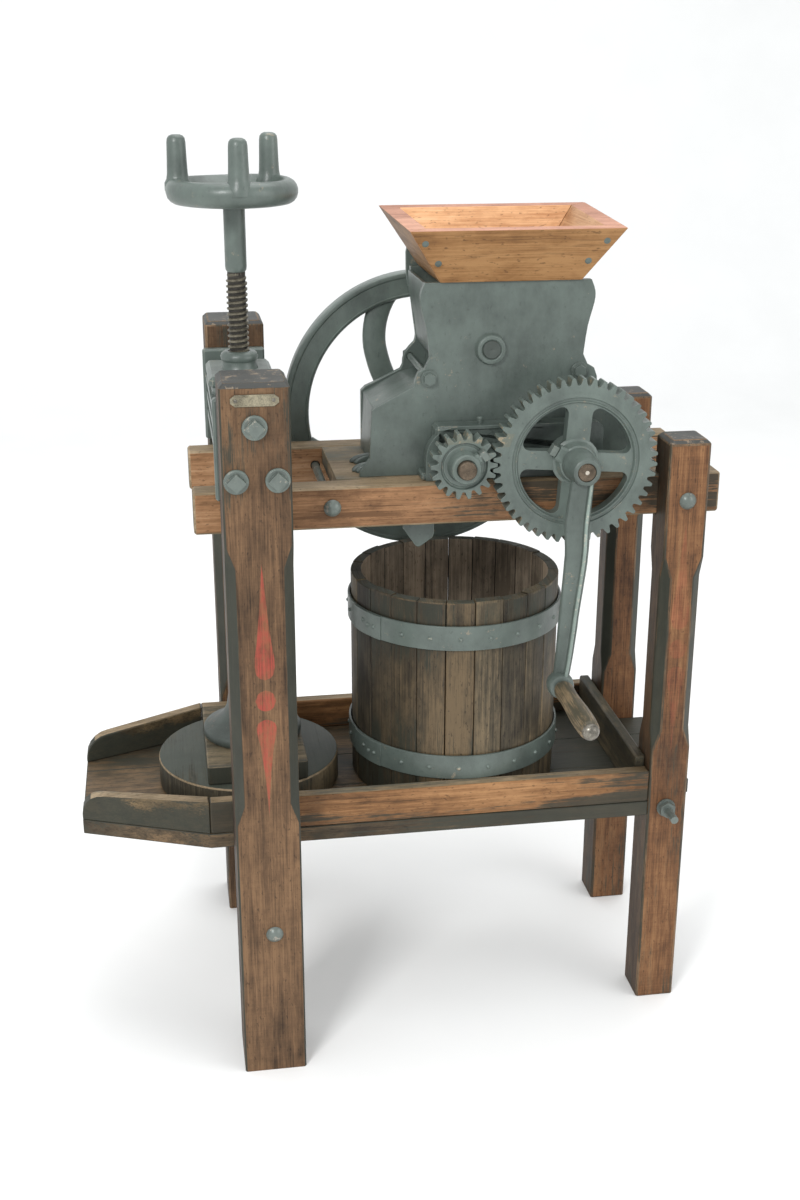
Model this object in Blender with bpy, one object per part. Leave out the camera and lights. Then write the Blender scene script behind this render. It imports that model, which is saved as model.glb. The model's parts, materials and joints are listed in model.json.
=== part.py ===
"""Apple cider press: a two-post screw press and a hand-cranked apple mill on one wooden frame.

Metres, +Z up. The design frame has x = 0 on the cutter drum's axis, y = 0 on the middle plane
between the rails and z = 0 on the floor. The empty that holds every part moves this frame so that
the world origin is on the floor under the middle of the press. A moving part has its origin on its
joint's axis.
"""

import math

import bmesh
import bpy
from mathutils import Matrix, Vector

GAP = 0.0003
WORLD_SHIFT = (0.0835, 0.0448, 0.0)

# Frame posts: the left pair carries the screw, the right pair ends above the mill rails.
LEFT_X = -0.284
LEFT_SIZE = (0.088, 0.091)
LEFT_TOP = 1.004
RIGHT_X = {-1: 0.312, 1: 0.322}
RIGHT_SIZE = (0.059, 0.061)
RIGHT_TOP = 0.887
EDGE = 0.0025
STOP_CHAMFER = 0.013
CHAMFER_RUN = 0.030
LEFT_CHAMFER = (0.398, 0.794)
RIGHT_CHAMFER = (0.425, 0.718)

# Rails and the board between them that carries the mill.
RAIL_INNER = 0.0918
RAIL_THICK = 0.0405
RAIL_Z = (0.7702, 0.8288)
RAIL_X = (-0.3625, 0.374)
BED_X = (-0.165, 0.296)
BED_THICK = 0.025
PULP_HOLE = (0.086, 0.078)

# Press tray.
TRAY_HALF = 0.1765
TRAY_X = (-0.360, 0.282)
FLOOR_Z = (0.3176, 0.3400)
BOARD_THICK = 0.0212
BOARD_TOP = 0.3893
MOUTH_X = -0.541
MOUTH_HALF = 0.104
MOUTH_TOP = 0.380
MOUTH_ROUND = 0.032
END_BOARD_THICK = 0.0158
END_BOARD_TOP = 0.405
FLOOR_END = 0.366
PLANK_SEAM = 0.052

# Tub.
TUB_X = 0.020
TUB_RADIUS = 0.155
TUB_WALL = 0.016
TUB_TOP = 0.6615
STAVES = 23
HOOP_THICK = 0.0035
HOOP_BANDS = ((0.3897, 0.4260), (0.590, 0.6262))

# Press screw.
SCREW_X = LEFT_X - 0.003
SCREW_RADIUS = 0.0147
SCREW_BOTTOM = 0.4403
SCREW_TOP = 1.2035
WHEEL_Z = 1.208
WHEEL_MAJOR = 0.0741
WHEEL_MINOR = 0.0160
PIN_TOP = 1.280
PIN_ANGLES = (-87, 45, 168)
DISC_X = -0.2940
DISC_RADIUS = 0.1350
DISC_TOP = 0.3858
CROSS_HALF = 0.0725
CROSS_Y = (-0.116, 0.100)
CROSS_TOP = 0.416
FOOT_RADIUS = 0.073
YOKE_TOP = 0.970
COLLAR_TOP = 0.997

# Apple mill.
CASE_X = 0.0735
CASE_FRONT = 0.085
CASE_PLATE = 0.010
CASE_TOP = 1.093
SHAFT_Z = 0.860
SHAFT_RADIUS = 0.0125
HUB_RADIUS = 0.0195
RUN_GAP = 0.0004
DRUM_RADIUS = 0.068
FEED_X, FEED_Z = 0.050, 1.0023
FEED_RADIUS = 0.045
BRACKET_FRONT = 0.120
HOPPER_TOP = 1.169
HOPPER_TILT = 0.04
HOPPER_WALL = 0.026

# Gears, crank and flywheel.
MODULE = 0.0046
GEAR_TEETH = 48
PINION_TEETH = 18
GEAR_X = 0.1545
GEAR_FACE = (-0.165, -0.141)
PRESSURE_ANGLE = math.radians(20)
BACKLASH = 0.0006
CRANK_FACE = (-0.222, -0.200)
CRANK_END = (0.1320, 0.5525)
FLY_RADIUS = 0.2125
FLY_RIM = 0.0370
FLY_Y = (0.166, 0.198)
FLY_SPOKES = 4

WOOD_BROWN = ((0.30, 0.16, 0.08), 0.62, 0.0)
WOOD_DARK = ((0.12, 0.09, 0.065), 0.70, 0.0)
WOOD_NEW = ((0.62, 0.33, 0.14), 0.45, 0.0)
PAINT = ((0.15, 0.20, 0.165), 0.48, 0.25)
STEEL = ((0.20, 0.17, 0.13), 0.45, 0.85)
BRASS = ((0.42, 0.34, 0.18), 0.45, 0.80)


# ---------------------------------------------------------------- scene and materials


def clear_scene():
    for obj in list(bpy.data.objects):
        bpy.data.objects.remove(obj, do_unlink=True)


def new_collection(name):
    made = bpy.data.collections.new(name)
    bpy.context.scene.collection.children.link(made)
    return made


def material_for(name, look):
    colour, rough, metal = look
    made = bpy.data.materials.new(name)
    made.use_nodes = True
    shader = made.node_tree.nodes["Principled BSDF"]
    shader.inputs["Base Color"].default_value = (*colour, 1)
    shader.inputs["Roughness"].default_value = rough
    shader.inputs["Metallic"].default_value = metal
    made.diffuse_color = (*colour, 1)
    return made


clear_scene()
PARTS = new_collection("apple_cider_press")
CUTTERS = new_collection("cutters")
ROOT = bpy.data.objects.new("press_frame_origin", None)
ROOT.location = WORLD_SHIFT
PARTS.objects.link(ROOT)


def part(name, bm, look, pivot=(0, 0, 0)):
    """An object from a bmesh in the design frame, with its origin at the pivot."""
    bmesh.ops.translate(bm, verts=bm.verts, vec=-Vector(pivot))
    bmesh.ops.recalc_face_normals(bm, faces=bm.faces)
    mesh = bpy.data.meshes.new(name)
    bm.to_mesh(mesh)
    bm.free()
    mesh.shade_smooth()
    mesh.set_sharp_from_angle(angle=math.radians(32))
    mesh.materials.append(material_for(name, look))
    obj = bpy.data.objects.new(name, mesh)
    obj.location = pivot
    obj.parent = ROOT
    PARTS.objects.link(obj)
    return obj


def helper(name, bm, like):
    """A hidden solid that a Boolean on another part reads."""
    bmesh.ops.translate(bm, verts=bm.verts, vec=-like.location)
    bmesh.ops.recalc_face_normals(bm, faces=bm.faces)
    mesh = bpy.data.meshes.new(name)
    bm.to_mesh(mesh)
    bm.free()
    obj = bpy.data.objects.new(name, mesh)
    obj.location = like.location
    obj.parent = ROOT
    obj.hide_render = True
    obj.display_type = "WIRE"
    CUTTERS.objects.link(obj)
    return obj


def boolean(obj, bm, operation):
    count = len(obj.modifiers)
    step = obj.modifiers.new(f"{operation.lower()}_{count}", "BOOLEAN")
    step.operation = operation
    step.solver = "EXACT"
    step.object = helper(f"{obj.name}_{operation.lower()}_{count}", bm, obj)


def cut(obj, *shapes):
    for bm in shapes:
        boolean(obj, bm, "DIFFERENCE")


def join(obj, *shapes):
    for bm in shapes:
        boolean(obj, bm, "UNION")


# ---------------------------------------------------------------- shapes


def box(low, high, bevel=0.0):
    bm = bmesh.new()
    low, high = Vector(low), Vector(high)
    place = Matrix.LocRotScale((low + high) / 2, None, high - low)
    bmesh.ops.create_cube(bm, size=1, matrix=place)
    if bevel:
        bmesh.ops.bevel(bm, geom=bm.edges, offset=bevel, segments=1, affect="EDGES")
    return bm


def rod(start, end, radius, segments=20, end_radius=None):
    """A cylinder or a cone between two points."""
    start, end = Vector(start), Vector(end)
    along = end - start
    turn = along.to_track_quat("Z", "Y")
    place = Matrix.LocRotScale((start + end) / 2, turn, None)
    bm = bmesh.new()
    bmesh.ops.create_cone(
        bm,
        cap_ends=True,
        segments=segments,
        radius1=radius,
        radius2=radius if end_radius is None else end_radius,
        depth=along.length,
        matrix=place,
    )
    return bm


def across(x, z, y0, y1, radius, segments=20):
    """A cylinder along Y."""
    return rod((x, y0, z), (x, y1, z), radius, segments)


def loft(sections):
    """A closed solid through rings of equally many points."""
    bm = bmesh.new()
    rings = [[bm.verts.new(p) for p in ring] for ring in sections]
    count = len(rings[0])
    for lower, upper in zip(rings, rings[1:]):
        for i in range(count):
            j = (i + 1) % count
            bm.faces.new((lower[i], lower[j], upper[j], upper[i]))
    bm.faces.new(rings[0][::-1])
    bm.faces.new(rings[-1])
    return bm


def turned(profile, axis_at, along, segments=32):
    """A solid of revolution: profile is (radius, station) pairs from one end on the axis to the other."""
    bm = bmesh.new()
    verts = [bm.verts.new((r, 0, s)) for r, s in profile]
    edges = [bm.edges.new(pair) for pair in zip(verts, verts[1:])]
    if profile[0][0] > 0 and profile[-1][0] > 0:
        edges.append(bm.edges.new((verts[-1], verts[0])))
    bmesh.ops.spin(
        bm,
        geom=verts + edges,
        cent=(0, 0, 0),
        axis=(0, 0, 1),
        angle=math.tau,
        steps=segments,
        use_merge=True,
    )
    bmesh.ops.remove_doubles(bm, verts=bm.verts, dist=1e-6)
    turn = Vector(along).to_track_quat("Z", "Y")
    bm.transform(Matrix.LocRotScale(Vector(axis_at), turn, None))
    return bm


def plate(outlines, y0, y1):
    """A flat outline in X and Z, with its holes, as thick as y0 to y1."""
    curve = bpy.data.curves.new("outline", "CURVE")
    curve.dimensions = "2D"
    curve.fill_mode = "BOTH"
    curve.extrude = (y1 - y0) / 2
    for points in outlines:
        spline = curve.splines.new("POLY")
        spline.points.add(len(points) - 1)
        for point, (x, z) in zip(spline.points, points):
            point.co = (x, z, 0, 1)
        spline.use_cyclic_u = True
    made = bpy.data.objects.new("outline", curve)
    CUTTERS.objects.link(made)
    graph = bpy.context.evaluated_depsgraph_get()
    mesh = bpy.data.meshes.new_from_object(made.evaluated_get(graph))
    bm = bmesh.new()
    bm.from_mesh(mesh)
    bpy.data.objects.remove(made)
    bpy.data.meshes.remove(mesh)
    bpy.data.curves.remove(curve)
    bmesh.ops.remove_doubles(bm, verts=bm.verts, dist=1e-6)
    stand = Matrix.Translation((0, (y0 + y1) / 2, 0)) @ Matrix.Rotation(math.pi / 2, 4, "X")
    bm.transform(stand)
    return bm


def polar(radius, degrees, centre=(0, 0)):
    angle = math.radians(degrees)
    return (centre[0] + radius * math.cos(angle), centre[1] + radius * math.sin(angle))


def circle(centre, radius, segments=24):
    return [polar(radius, 360 * i / segments, centre) for i in range(segments)]


def smooth_line(points, steps):
    """A Catmull-Rom line through the points."""
    padded = [points[0], *points, points[-1]]
    line = []
    for a, b, c, d in zip(padded, padded[1:], padded[2:], padded[3:]):
        for k in range(steps):
            t = k / steps
            line.append(
                tuple(
                    0.5
                    * (
                        2 * q
                        + (r - p) * t
                        + (2 * p - 5 * q + 4 * r - s) * t * t
                        + (3 * q - p - 3 * r + s) * t**3
                    )
                    for p, q, r, s in zip(a, b, c, d)
                )
            )
    return line + [points[-1]]


def mirrored(points, middle):
    return [(2 * middle - x, z) for x, z in reversed(points)]


# ---------------------------------------------------------------- wooden frame


def post_section(centre, size, z, corner, inset=0.0):
    half_x, half_y = size[0] / 2 - inset, size[1] / 2 - inset
    ring = []
    for sx, sy, first in ((1, -1, "y"), (1, 1, "x"), (-1, 1, "y"), (-1, -1, "x")):
        near_x = (centre[0] + sx * (half_x - corner), centre[1] + sy * half_y, z)
        near_y = (centre[0] + sx * half_x, centre[1] + sy * (half_y - corner), z)
        ring += [near_x, near_y] if first == "y" else [near_y, near_x]
    return ring


def post(name, centre, size, top, chamfer):
    low, high = chamfer
    levels = (
        (0, EDGE),
        (low, EDGE),
        (low + CHAMFER_RUN, STOP_CHAMFER),
        (high - CHAMFER_RUN, STOP_CHAMFER),
        (high, EDGE),
        (top - 0.006, EDGE),
    )
    sections = [post_section(centre, size, z, corner) for z, corner in levels]
    sections.append(post_section(centre, size, top, EDGE, 0.006))
    return part(name, loft(sections), WOOD_BROWN, (centre[0], centre[1], 0))


def y_side(side, near, far):
    """The y range near to far from the middle plane, on the front (-1) or the rear (1)."""
    return sorted((side * near, side * far))


LEFT_NEAR = TRAY_HALF + GAP
LEFT_FAR = LEFT_NEAR + LEFT_SIZE[1]
RIGHT_FAR = TRAY_HALF + GAP
RIGHT_NEAR = RIGHT_FAR - RIGHT_SIZE[1]
RAIL_OUTER = RAIL_INNER + RAIL_THICK
LOW_ROD = (LEFT_X + 0.004, 0.226)
TRAY_ROD = (0.310, 0.329)
RAIL_BOLT_Z = 0.8015
YOKE_BOLTS = ((-0.001, 0.949), (-0.026, 0.881), (0.026, 0.881))
BOLT_RADIUS = 0.0065
BOLT_HOLE = 0.0070


def frame_posts():
    for side, end in ((-1, "front"), (1, "rear")):
        y0, y1 = y_side(side, LEFT_NEAR, LEFT_FAR)
        left = post(f"left_{end}_post", (LEFT_X, (y0 + y1) / 2), LEFT_SIZE, LEFT_TOP, LEFT_CHAMFER)
        holes = [(LEFT_X + dx, z) for dx, z in YOKE_BOLTS] + [LOW_ROD]
        cut(left, *(across(x, z, y0 - 0.01, y1 + 0.01, BOLT_HOLE, 10) for x, z in holes))
        y0, y1 = y_side(side, RIGHT_NEAR, RIGHT_FAR)
        middle = RIGHT_X[side]
        right = post(f"right_{end}_post", (middle, (y0 + y1) / 2), RIGHT_SIZE, RIGHT_TOP, RIGHT_CHAMFER)
        n0, n1 = y_side(side, RIGHT_NEAR - 0.02, RAIL_OUTER + GAP)
        wide = RIGHT_SIZE[0]
        cut(right, box((middle - wide, n0, RAIL_Z[0] - GAP), (middle + wide, n1, RAIL_Z[1] + GAP)))
        holes = ((middle, RAIL_BOLT_Z), TRAY_ROD)
        cut(right, *(across(x, z, y0 - 0.01, y1 + 0.01, BOLT_HOLE, 10) for x, z in holes))


RAIL_TIE = (-0.175, 0.8005)


def rails():
    for side, end in ((-1, "front"), (1, "rear")):
        y0, y1 = y_side(side, RAIL_INNER, RAIL_OUTER)
        rail = part(f"{end}_rail", box((RAIL_X[0], y0, RAIL_Z[0]), (RAIL_X[1], y1, RAIL_Z[1]), 0.003), WOOD_BROWN)
        holes = ((RIGHT_X[side], RAIL_BOLT_Z), RAIL_TIE)
        cut(rail, *(across(x, z, y0 - 0.01, y1 + 0.01, BOLT_HOLE, 10) for x, z in holes))


def mill_bed():
    half = RAIL_INNER - GAP
    bed = part("mill_bed_board", box((BED_X[0], -half, RAIL_Z[1] - BED_THICK), (BED_X[1], half, RAIL_Z[1])), WOOD_DARK)
    hole_x, hole_y = PULP_HOLE
    cut(bed, box((-hole_x, -hole_y, RAIL_Z[0]), (hole_x, hole_y, RAIL_Z[1] + 0.01)))


def dome_bolt(name, x, z, head_y, end_y, nut_y, head=0.0115):
    """A round-headed bolt or rod along Y, with a hexagon nut and washer near its other end."""
    way = 1 if end_y > head_y else -1
    dome = [(0, 0), (head * 0.45, 0.0009), (head * 0.8, 0.003), (head, 0.0062), (head, 0.0075), (0, 0.0075)]
    bolt = part(name, turned(dome, (x, head_y - way * 0.0075, z), (0, way, 0), 16), PAINT)
    join(bolt, across(x, z, head_y - way * 0.002, end_y, BOLT_RADIUS - 0.0005, 10))
    nut = rod((x, nut_y, z), (x, nut_y + way * 0.010, z), 0.0125, 6)
    join(bolt, across(x, z, nut_y - way * 0.0022, nut_y + way * 0.001, 0.0140, 16), nut)


def frame_fasteners():
    outer = RAIL_OUTER + GAP
    dome_bolt("rail_tie_rod", *RAIL_TIE, -outer, outer + 0.020, outer + 0.0022)
    far = LEFT_FAR + GAP
    dome_bolt("left_tie_rod", *LOW_ROD, -far, far + 0.018, far + 0.0022)
    far = RIGHT_FAR + GAP
    dome_bolt("tray_tie_rod", *TRAY_ROD, far, -far - 0.042, -far - 0.0022)
    inner = RAIL_INNER - GAP
    dome_bolt("front_rail_bolt", RIGHT_X[-1], RAIL_BOLT_Z, -far, -inner + 0.016, -inner + 0.0022)
    dome_bolt("rear_rail_bolt", RIGHT_X[1], RAIL_BOLT_Z, far, inner - 0.016, inner - 0.0022)


# ---------------------------------------------------------------- press tray


def tray_floor():
    ends = ((-TRAY_HALF, -PLANK_SEAM, "front"), (-PLANK_SEAM, PLANK_SEAM, "middle"), (PLANK_SEAM, TRAY_HALF, "rear"))
    slope = (TRAY_HALF - MOUTH_HALF) / (TRAY_X[0] - MOUTH_X)
    inner = RIGHT_NEAR - GAP
    for y0, y1, where in ends:
        low, high = y0 + GAP / 2, y1 - GAP / 2
        plank = part(f"tray_{where}_plank", box((MOUTH_X, low, FLOOR_Z[0]), (FLOOR_END, high, FLOOR_Z[1])), WOOD_DARK)
        side = -1 if where == "front" else 1
        if where != "middle":
            corner = [(MOUTH_X - 0.05, MOUTH_HALF - 0.05 * slope), (TRAY_X[0], TRAY_HALF)]
            wedge = [*corner, (TRAY_X[0], TRAY_HALF + 0.05), (MOUTH_X - 0.05, TRAY_HALF + 0.05)]
            rings = [[(x, side * y, z) for x, y in wedge] for z in (FLOOR_Z[0] - 0.01, FLOOR_Z[1] + 0.01)]
            cut(plank, loft(rings))
            c0, c1 = y_side(side, inner, TRAY_HALF + 0.01)
            stop = RIGHT_X[side] - RIGHT_SIZE[0] / 2 - GAP
            cut(plank, box((stop, c0, FLOOR_Z[0] - 0.01), (FLOOR_END + 0.01, c1, FLOOR_Z[1] + 0.01)))
        groove = BOLT_RADIUS + 0.0005
        x, z = TRAY_ROD
        cut(plank, box((x - groove, -TRAY_HALF, FLOOR_Z[0] - 0.01), (x + groove, TRAY_HALF, z + groove)))


def tray_side_boards():
    floor = FLOOR_Z[1] + GAP
    for side, end in ((-1, "front"), (1, "rear")):
        y0, y1 = y_side(side, TRAY_HALF - BOARD_THICK, TRAY_HALF)
        stop = RIGHT_X[side] - RIGHT_SIZE[0] / 2 - GAP
        part(f"tray_{end}_board", box((TRAY_X[0], y0, floor), (stop, y1, BOARD_TOP), 0.002), WOOD_BROWN)
    half = TRAY_HALF - BOARD_THICK - GAP
    right = TRAY_X[1] - GAP
    part("tray_end_board", box((right - END_BOARD_THICK, -half, floor), (right, half, END_BOARD_TOP), 0.002), WOOD_DARK)


def spout_boards():
    """Each leads from the tray's knee to the mouth, and its top corner there is rounded."""
    floor = FLOOR_Z[1] + GAP
    rise = BOARD_TOP - floor
    drop = BOARD_TOP - MOUTH_TOP
    knee = TRAY_X[0] - GAP
    thick = BOARD_THICK * 1.06
    for side, end in ((-1, "front"), (1, "rear")):
        stations = [(knee, rise)]
        for k in range(6):
            angle = math.radians(18 * k)
            x = MOUTH_X + MOUTH_ROUND * (1 - math.sin(angle))
            stations.append((x, rise - drop - MOUTH_ROUND * (1 - math.cos(angle))))
        rings = []
        for x, height in stations:
            share = (knee - x) / (knee - MOUTH_X)
            outer = TRAY_HALF + (MOUTH_HALF - TRAY_HALF) * share
            inner = outer - thick
            top = floor + height
            rings.append([(x, side * y, z) for y, z in ((outer, floor), (outer, top), (inner, top), (inner, floor))])
        part(f"spout_{end}_board", loft(rings), WOOD_DARK)


# ---------------------------------------------------------------- tub


def tub():
    floor = FLOOR_Z[1] + GAP
    step = 360 / STAVES
    joint = math.degrees(0.0018 / TUB_RADIUS)
    outer = []
    for i in range(STAVES):
        a = i * step
        outer += [polar(TUB_RADIUS, a + joint), polar(TUB_RADIUS, a + step - joint)]
        outer.append(polar(TUB_RADIUS - 0.0045, a + step))
    inner = circle((0, 0), TUB_RADIUS - TUB_WALL, 2 * STAVES)
    wall = plate([outer, inner], 0, TUB_TOP - floor)
    wall.transform(Matrix.Translation((TUB_X, 0, floor)) @ Matrix.Rotation(math.pi / 2, 4, "X"))
    part("tub_staves", wall, WOOD_DARK, (TUB_X, 0, 0))
    inside = TUB_RADIUS + 0.0012
    for (z0, z1), where in zip(HOOP_BANDS, ("lower", "upper")):
        band = [(inside, z1), (inside + HOOP_THICK, z1), (inside + HOOP_THICK, z0), (inside, z0)]
        part(f"tub_{where}_hoop", turned(band, (TUB_X, 0, 0), (0, 0, 1), 2 * STAVES), PAINT, (TUB_X, 0, 0))


# ---------------------------------------------------------------- screw press


def follower():
    floor = FLOOR_Z[1] + GAP
    edge = 0.003
    profile = [(0, DISC_TOP), (DISC_RADIUS - edge, DISC_TOP), (DISC_RADIUS, DISC_TOP - edge)]
    profile += [(DISC_RADIUS, floor + edge), (DISC_RADIUS - edge, floor), (0, floor)]
    part("follower_disc", turned(profile, (DISC_X, 0, 0), (0, 0, 1), 48), WOOD_DARK, (DISC_X, 0, 0))
    low = (SCREW_X - CROSS_HALF, CROSS_Y[0], DISC_TOP + GAP)
    high = (SCREW_X + CROSS_HALF, CROSS_Y[1], CROSS_TOP)
    part("follower_cross_block", box(low, high, 0.002), WOOD_DARK, (DISC_X, 0, 0))


def screw_foot():
    base = CROSS_TOP + GAP
    bore = SCREW_RADIUS + RUN_GAP
    profile = [(bore, 0.498), (0.027, 0.498), (0.033, 0.492), (0.036, 0.460), (0.041, 0.448), (0.058, 0.436)]
    profile += [(FOOT_RADIUS, 0.428), (FOOT_RADIUS, base + 0.002), (FOOT_RADIUS - 0.002, base), (0, base)]
    profile += [(0, SCREW_BOTTOM - GAP), (bore, SCREW_BOTTOM - GAP)]
    solid = [(0, 0.498), *profile[1:10]]
    foot = part("screw_foot", turned(solid, (SCREW_X, 0, 0), (0, 0, 1), 36), PAINT, (SCREW_X, 0, 0))
    cut(foot, rod((SCREW_X, 0, SCREW_BOTTOM - GAP), (SCREW_X, 0, 0.52), bore, 24))


def press_screw():
    shaft = rod((SCREW_X, 0, SCREW_BOTTOM), (SCREW_X, 0, SCREW_TOP), SCREW_RADIUS, 24)
    part("press_screw", shaft, STEEL, (SCREW_X, 0, 0))


def handwheel():
    """A ring with a recessed web and three upright pins for a bar or the hands."""
    profile = [(0, WHEEL_Z + 0.004), (0.024, WHEEL_Z + 0.004), (0.030, WHEEL_Z - 0.001)]
    inner = WHEEL_MAJOR - 0.012
    profile.append((inner, WHEEL_Z + 0.001))
    for degrees in range(140, -141, -40):
        dr, dz = polar(WHEEL_MINOR, degrees)
        profile.append((WHEEL_MAJOR + dr, WHEEL_Z + dz))
    profile += [(inner, WHEEL_Z - 0.013), (0.030, WHEEL_Z - 0.013), (0.026, WHEEL_Z - 0.0165), (0, WHEEL_Z - 0.0165)]
    wheel = part("handwheel", turned(profile, (SCREW_X, 0, 0), (0, 0, 1), 32), PAINT, (SCREW_X, 0, 0))
    for degrees in PIN_ANGLES:
        x, y = polar(WHEEL_MAJOR, degrees, (SCREW_X, 0))
        pin = [(0, PIN_TOP), (0.0085, PIN_TOP - 0.0008), (0.0118, PIN_TOP - 0.004), (0.0125, PIN_TOP - 0.009)]
        pin += [(0.0136, WHEEL_Z + 0.018), (0.0150, WHEEL_Z), (0, WHEEL_Z)]
        join(wheel, turned(pin, (x, y, 0), (0, 0, 1), 12))
    cut(wheel, rod((SCREW_X, 0, WHEEL_Z - 0.05), (SCREW_X, 0, SCREW_TOP + GAP), SCREW_RADIUS + GAP, 24))


def yoke():
    """The cast crosshead between the left posts, with the nut for the screw in its middle."""
    rail_top = RAIL_Z[1] + GAP
    end = LEFT_NEAR - GAP
    beam = box((SCREW_X - 0.029, -0.134, 0.866), (SCREW_X + 0.029, 0.134, 0.936), 0.004)
    cast = part("screw_yoke", beam, PAINT, (SCREW_X, 0, 0))
    join(cast, box((SCREW_X - 0.0105, -end + 0.004, 0.858), (SCREW_X + 0.0105, end - 0.004, 0.930)))
    for side in (-1, 1):
        y0, y1 = y_side(side, end - 0.016, end)
        join(cast, box((SCREW_X - 0.046, y0, rail_top), (SCREW_X + 0.046, y1, 0.966), 0.003))
        y0, y1 = y_side(side, RAIL_OUTER + GAP, end - 0.001)
        join(cast, box((SCREW_X - 0.030, y0, RAIL_Z[0]), (SCREW_X + 0.030, y1, rail_top + 0.012), 0.002))
    for z in (0.880, 0.907, 0.932):
        join(cast, box((SCREW_X - 0.043, -0.120, z - 0.005), (SCREW_X + 0.043, 0.120, z + 0.005)))
    join(cast, rod((SCREW_X, 0, 0.852), (SCREW_X, 0, YOKE_TOP - 0.006), 0.040, 32))
    saddle = box((SCREW_X - 0.045, -0.062, YOKE_TOP - 0.016), (SCREW_X + 0.045, 0.062, YOKE_TOP), 0.005)
    join(cast, saddle, rod((SCREW_X, 0, YOKE_TOP - 0.004), (SCREW_X, 0, COLLAR_TOP), 0.0300, 8))
    cut(cast, rod((SCREW_X, 0, 0.80), (SCREW_X, 0, 1.05), SCREW_RADIUS + RUN_GAP, 24))
    for side in (-1, 1):
        y0, y1 = y_side(side, end - 0.03, end + 0.01)
        cut(cast, *(across(LEFT_X + dx, z, y0, y1, BOLT_HOLE, 10) for dx, z in YOKE_BOLTS))


def square_bolt(name, x, z, side):
    """A square-headed bolt with a washer, through a left post into the yoke's end plate."""
    face = side * (LEFT_FAR + GAP)
    plate_face = side * (LEFT_NEAR - GAP - 0.016 - GAP)
    bolt = part(name, across(x, z, face, face + side * 0.0035, 0.0158, 24), PAINT)
    head = rod((x, face + side * 0.002, z), (x, face + side * 0.013, z), 0.0125, 4)
    join(bolt, head, across(x, z, face + side * 0.001, plate_face - side * 0.013, BOLT_RADIUS - 0.0005, 10))
    join(bolt, rod((x, plate_face, z), (x, plate_face - side * 0.010, z), 0.0115, 6))


def yoke_bolts():
    for side, end in ((-1, "front"), (1, "rear")):
        for number, (dx, z) in enumerate(YOKE_BOLTS, 1):
            square_bolt(f"yoke_{end}_bolt_{number}", LEFT_X + dx, z, side)


# ---------------------------------------------------------------- apple mill


WING = [(-0.131, 0.8291), (-0.131, 0.836), (-0.117, 0.853), (-0.1135, 0.9215), (-0.1085, 0.9255)]
EAR = [(-0.0550, 0.9530), (-0.0545, 0.9600), (-0.0500, 0.9720), (-0.0405, 0.9775)]
WAIST = [(-0.0338, 0.9913), (-0.0385, 1.030), (-0.0465, 1.062), (-0.0470, 1.078), (-0.0413, CASE_TOP)]
EAR_BOLTS = ((-0.0350, 0.9640), (0.1755, 0.9690))
LEFT_SIDE = [*WING, *EAR, *smooth_line(WAIST, 3)]
REAR_SIDE = [(-0.1075, 0.8291), (-0.1075, 0.9150), (-0.1010, 0.9215), (-0.0900, 0.9262), (-0.0555, 0.9425)]
REAR_SIDE += [(-0.0490, 0.9455), (-0.0458, 0.9515), (-0.0450, 0.9600), (-0.0425, 0.9690), (-0.0355, 0.9780)]
REAR_SIDE += smooth_line([(-0.0285, 0.9850), (-0.0265, 0.9950), (-0.0292, 1.0150), (-0.0335, 1.0480)], 3)
REAR_SIDE += [(-0.0345, 1.0700), (-0.0345, CASE_TOP)]


def casing_plates():
    for side, end, left in ((-1, "front", LEFT_SIDE), (1, "rear", REAR_SIDE)):
        y0, y1 = y_side(side, CASE_FRONT - CASE_PLATE, CASE_FRONT)
        panel = part(f"mill_{end}_plate", plate([left + mirrored(left, CASE_X)], y0, y1), PAINT)
        if side < 0:
            join(panel, across(FEED_X, FEED_Z, y0 - 0.008, y0 + 0.002, HUB_RADIUS, 28))
        bore = SHAFT_RADIUS + RUN_GAP
        cut(panel, across(0, SHAFT_Z, y0 - 0.02, y1 + 0.02, bore, 24))
        cut(panel, across(FEED_X, FEED_Z, y0 - 0.02, y1 + 0.02, bore, 24))
        cut(panel, *(across(x, z, y0 - 0.02, y1 + 0.02, 0.0053, 10) for x, z in EAR_BOLTS))


def bent_sheet(line, thick):
    """The outline of a sheet whose left-hand face follows the line."""
    inner = []
    for k, point in enumerate(line):
        before = Vector(point) - Vector(line[max(k - 1, 0)])
        after = Vector(line[min(k + 1, len(line) - 1)]) - Vector(point)
        before = before.normalized() if k else after.normalized()
        after = after.normalized() if k < len(line) - 1 else before
        normal = Vector((before.y + after.y, -before.x - after.x)).normalized()
        share = max(0.5, normal.dot(Vector((before.y, -before.x))))
        inner.append(tuple(Vector(point) + normal * thick / share))
    return line + inner[::-1]


def casing_covers():
    """Bent sheets that close the two ends between the plates, leaving the top and bottom open."""
    half = CASE_FRONT - CASE_PLATE - GAP
    line = [(-0.108, RAIL_Z[1] + GAP), (-0.105, 0.914), (-0.052, 0.9415), (-0.0150, 0.9525), (-0.0130, 0.957)]
    line += [(-0.0130, 0.974), (-0.0250, 0.990), (-0.0300, 1.026), (-0.0375, 1.060), (-0.0380, 1.088)]
    sheet = bent_sheet(line, 0.005)
    part("mill_left_cover", plate([sheet], -half, half), PAINT)
    part("mill_right_cover", plate([mirrored(sheet, CASE_X)], -half, half), PAINT)


def casing_bolts():
    """Each clamps the two plates together through its pair of ears."""
    for (x, z), where in zip(EAR_BOLTS, ("left", "right")):
        face = CASE_FRONT + GAP
        bolt = part(f"casing_{where}_bolt", across(x, z, -face, -face - 0.003, 0.0118, 16), PAINT)
        join(bolt, rod((x, -face - 0.002, z), (x, -face - 0.0095, z), 0.0088, 6))
        join(bolt, across(x, z, -face - 0.001, face + 0.012, 0.0048, 10))
        join(bolt, rod((x, face, z), (x, face + 0.008, z), 0.0088, 6))


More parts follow.
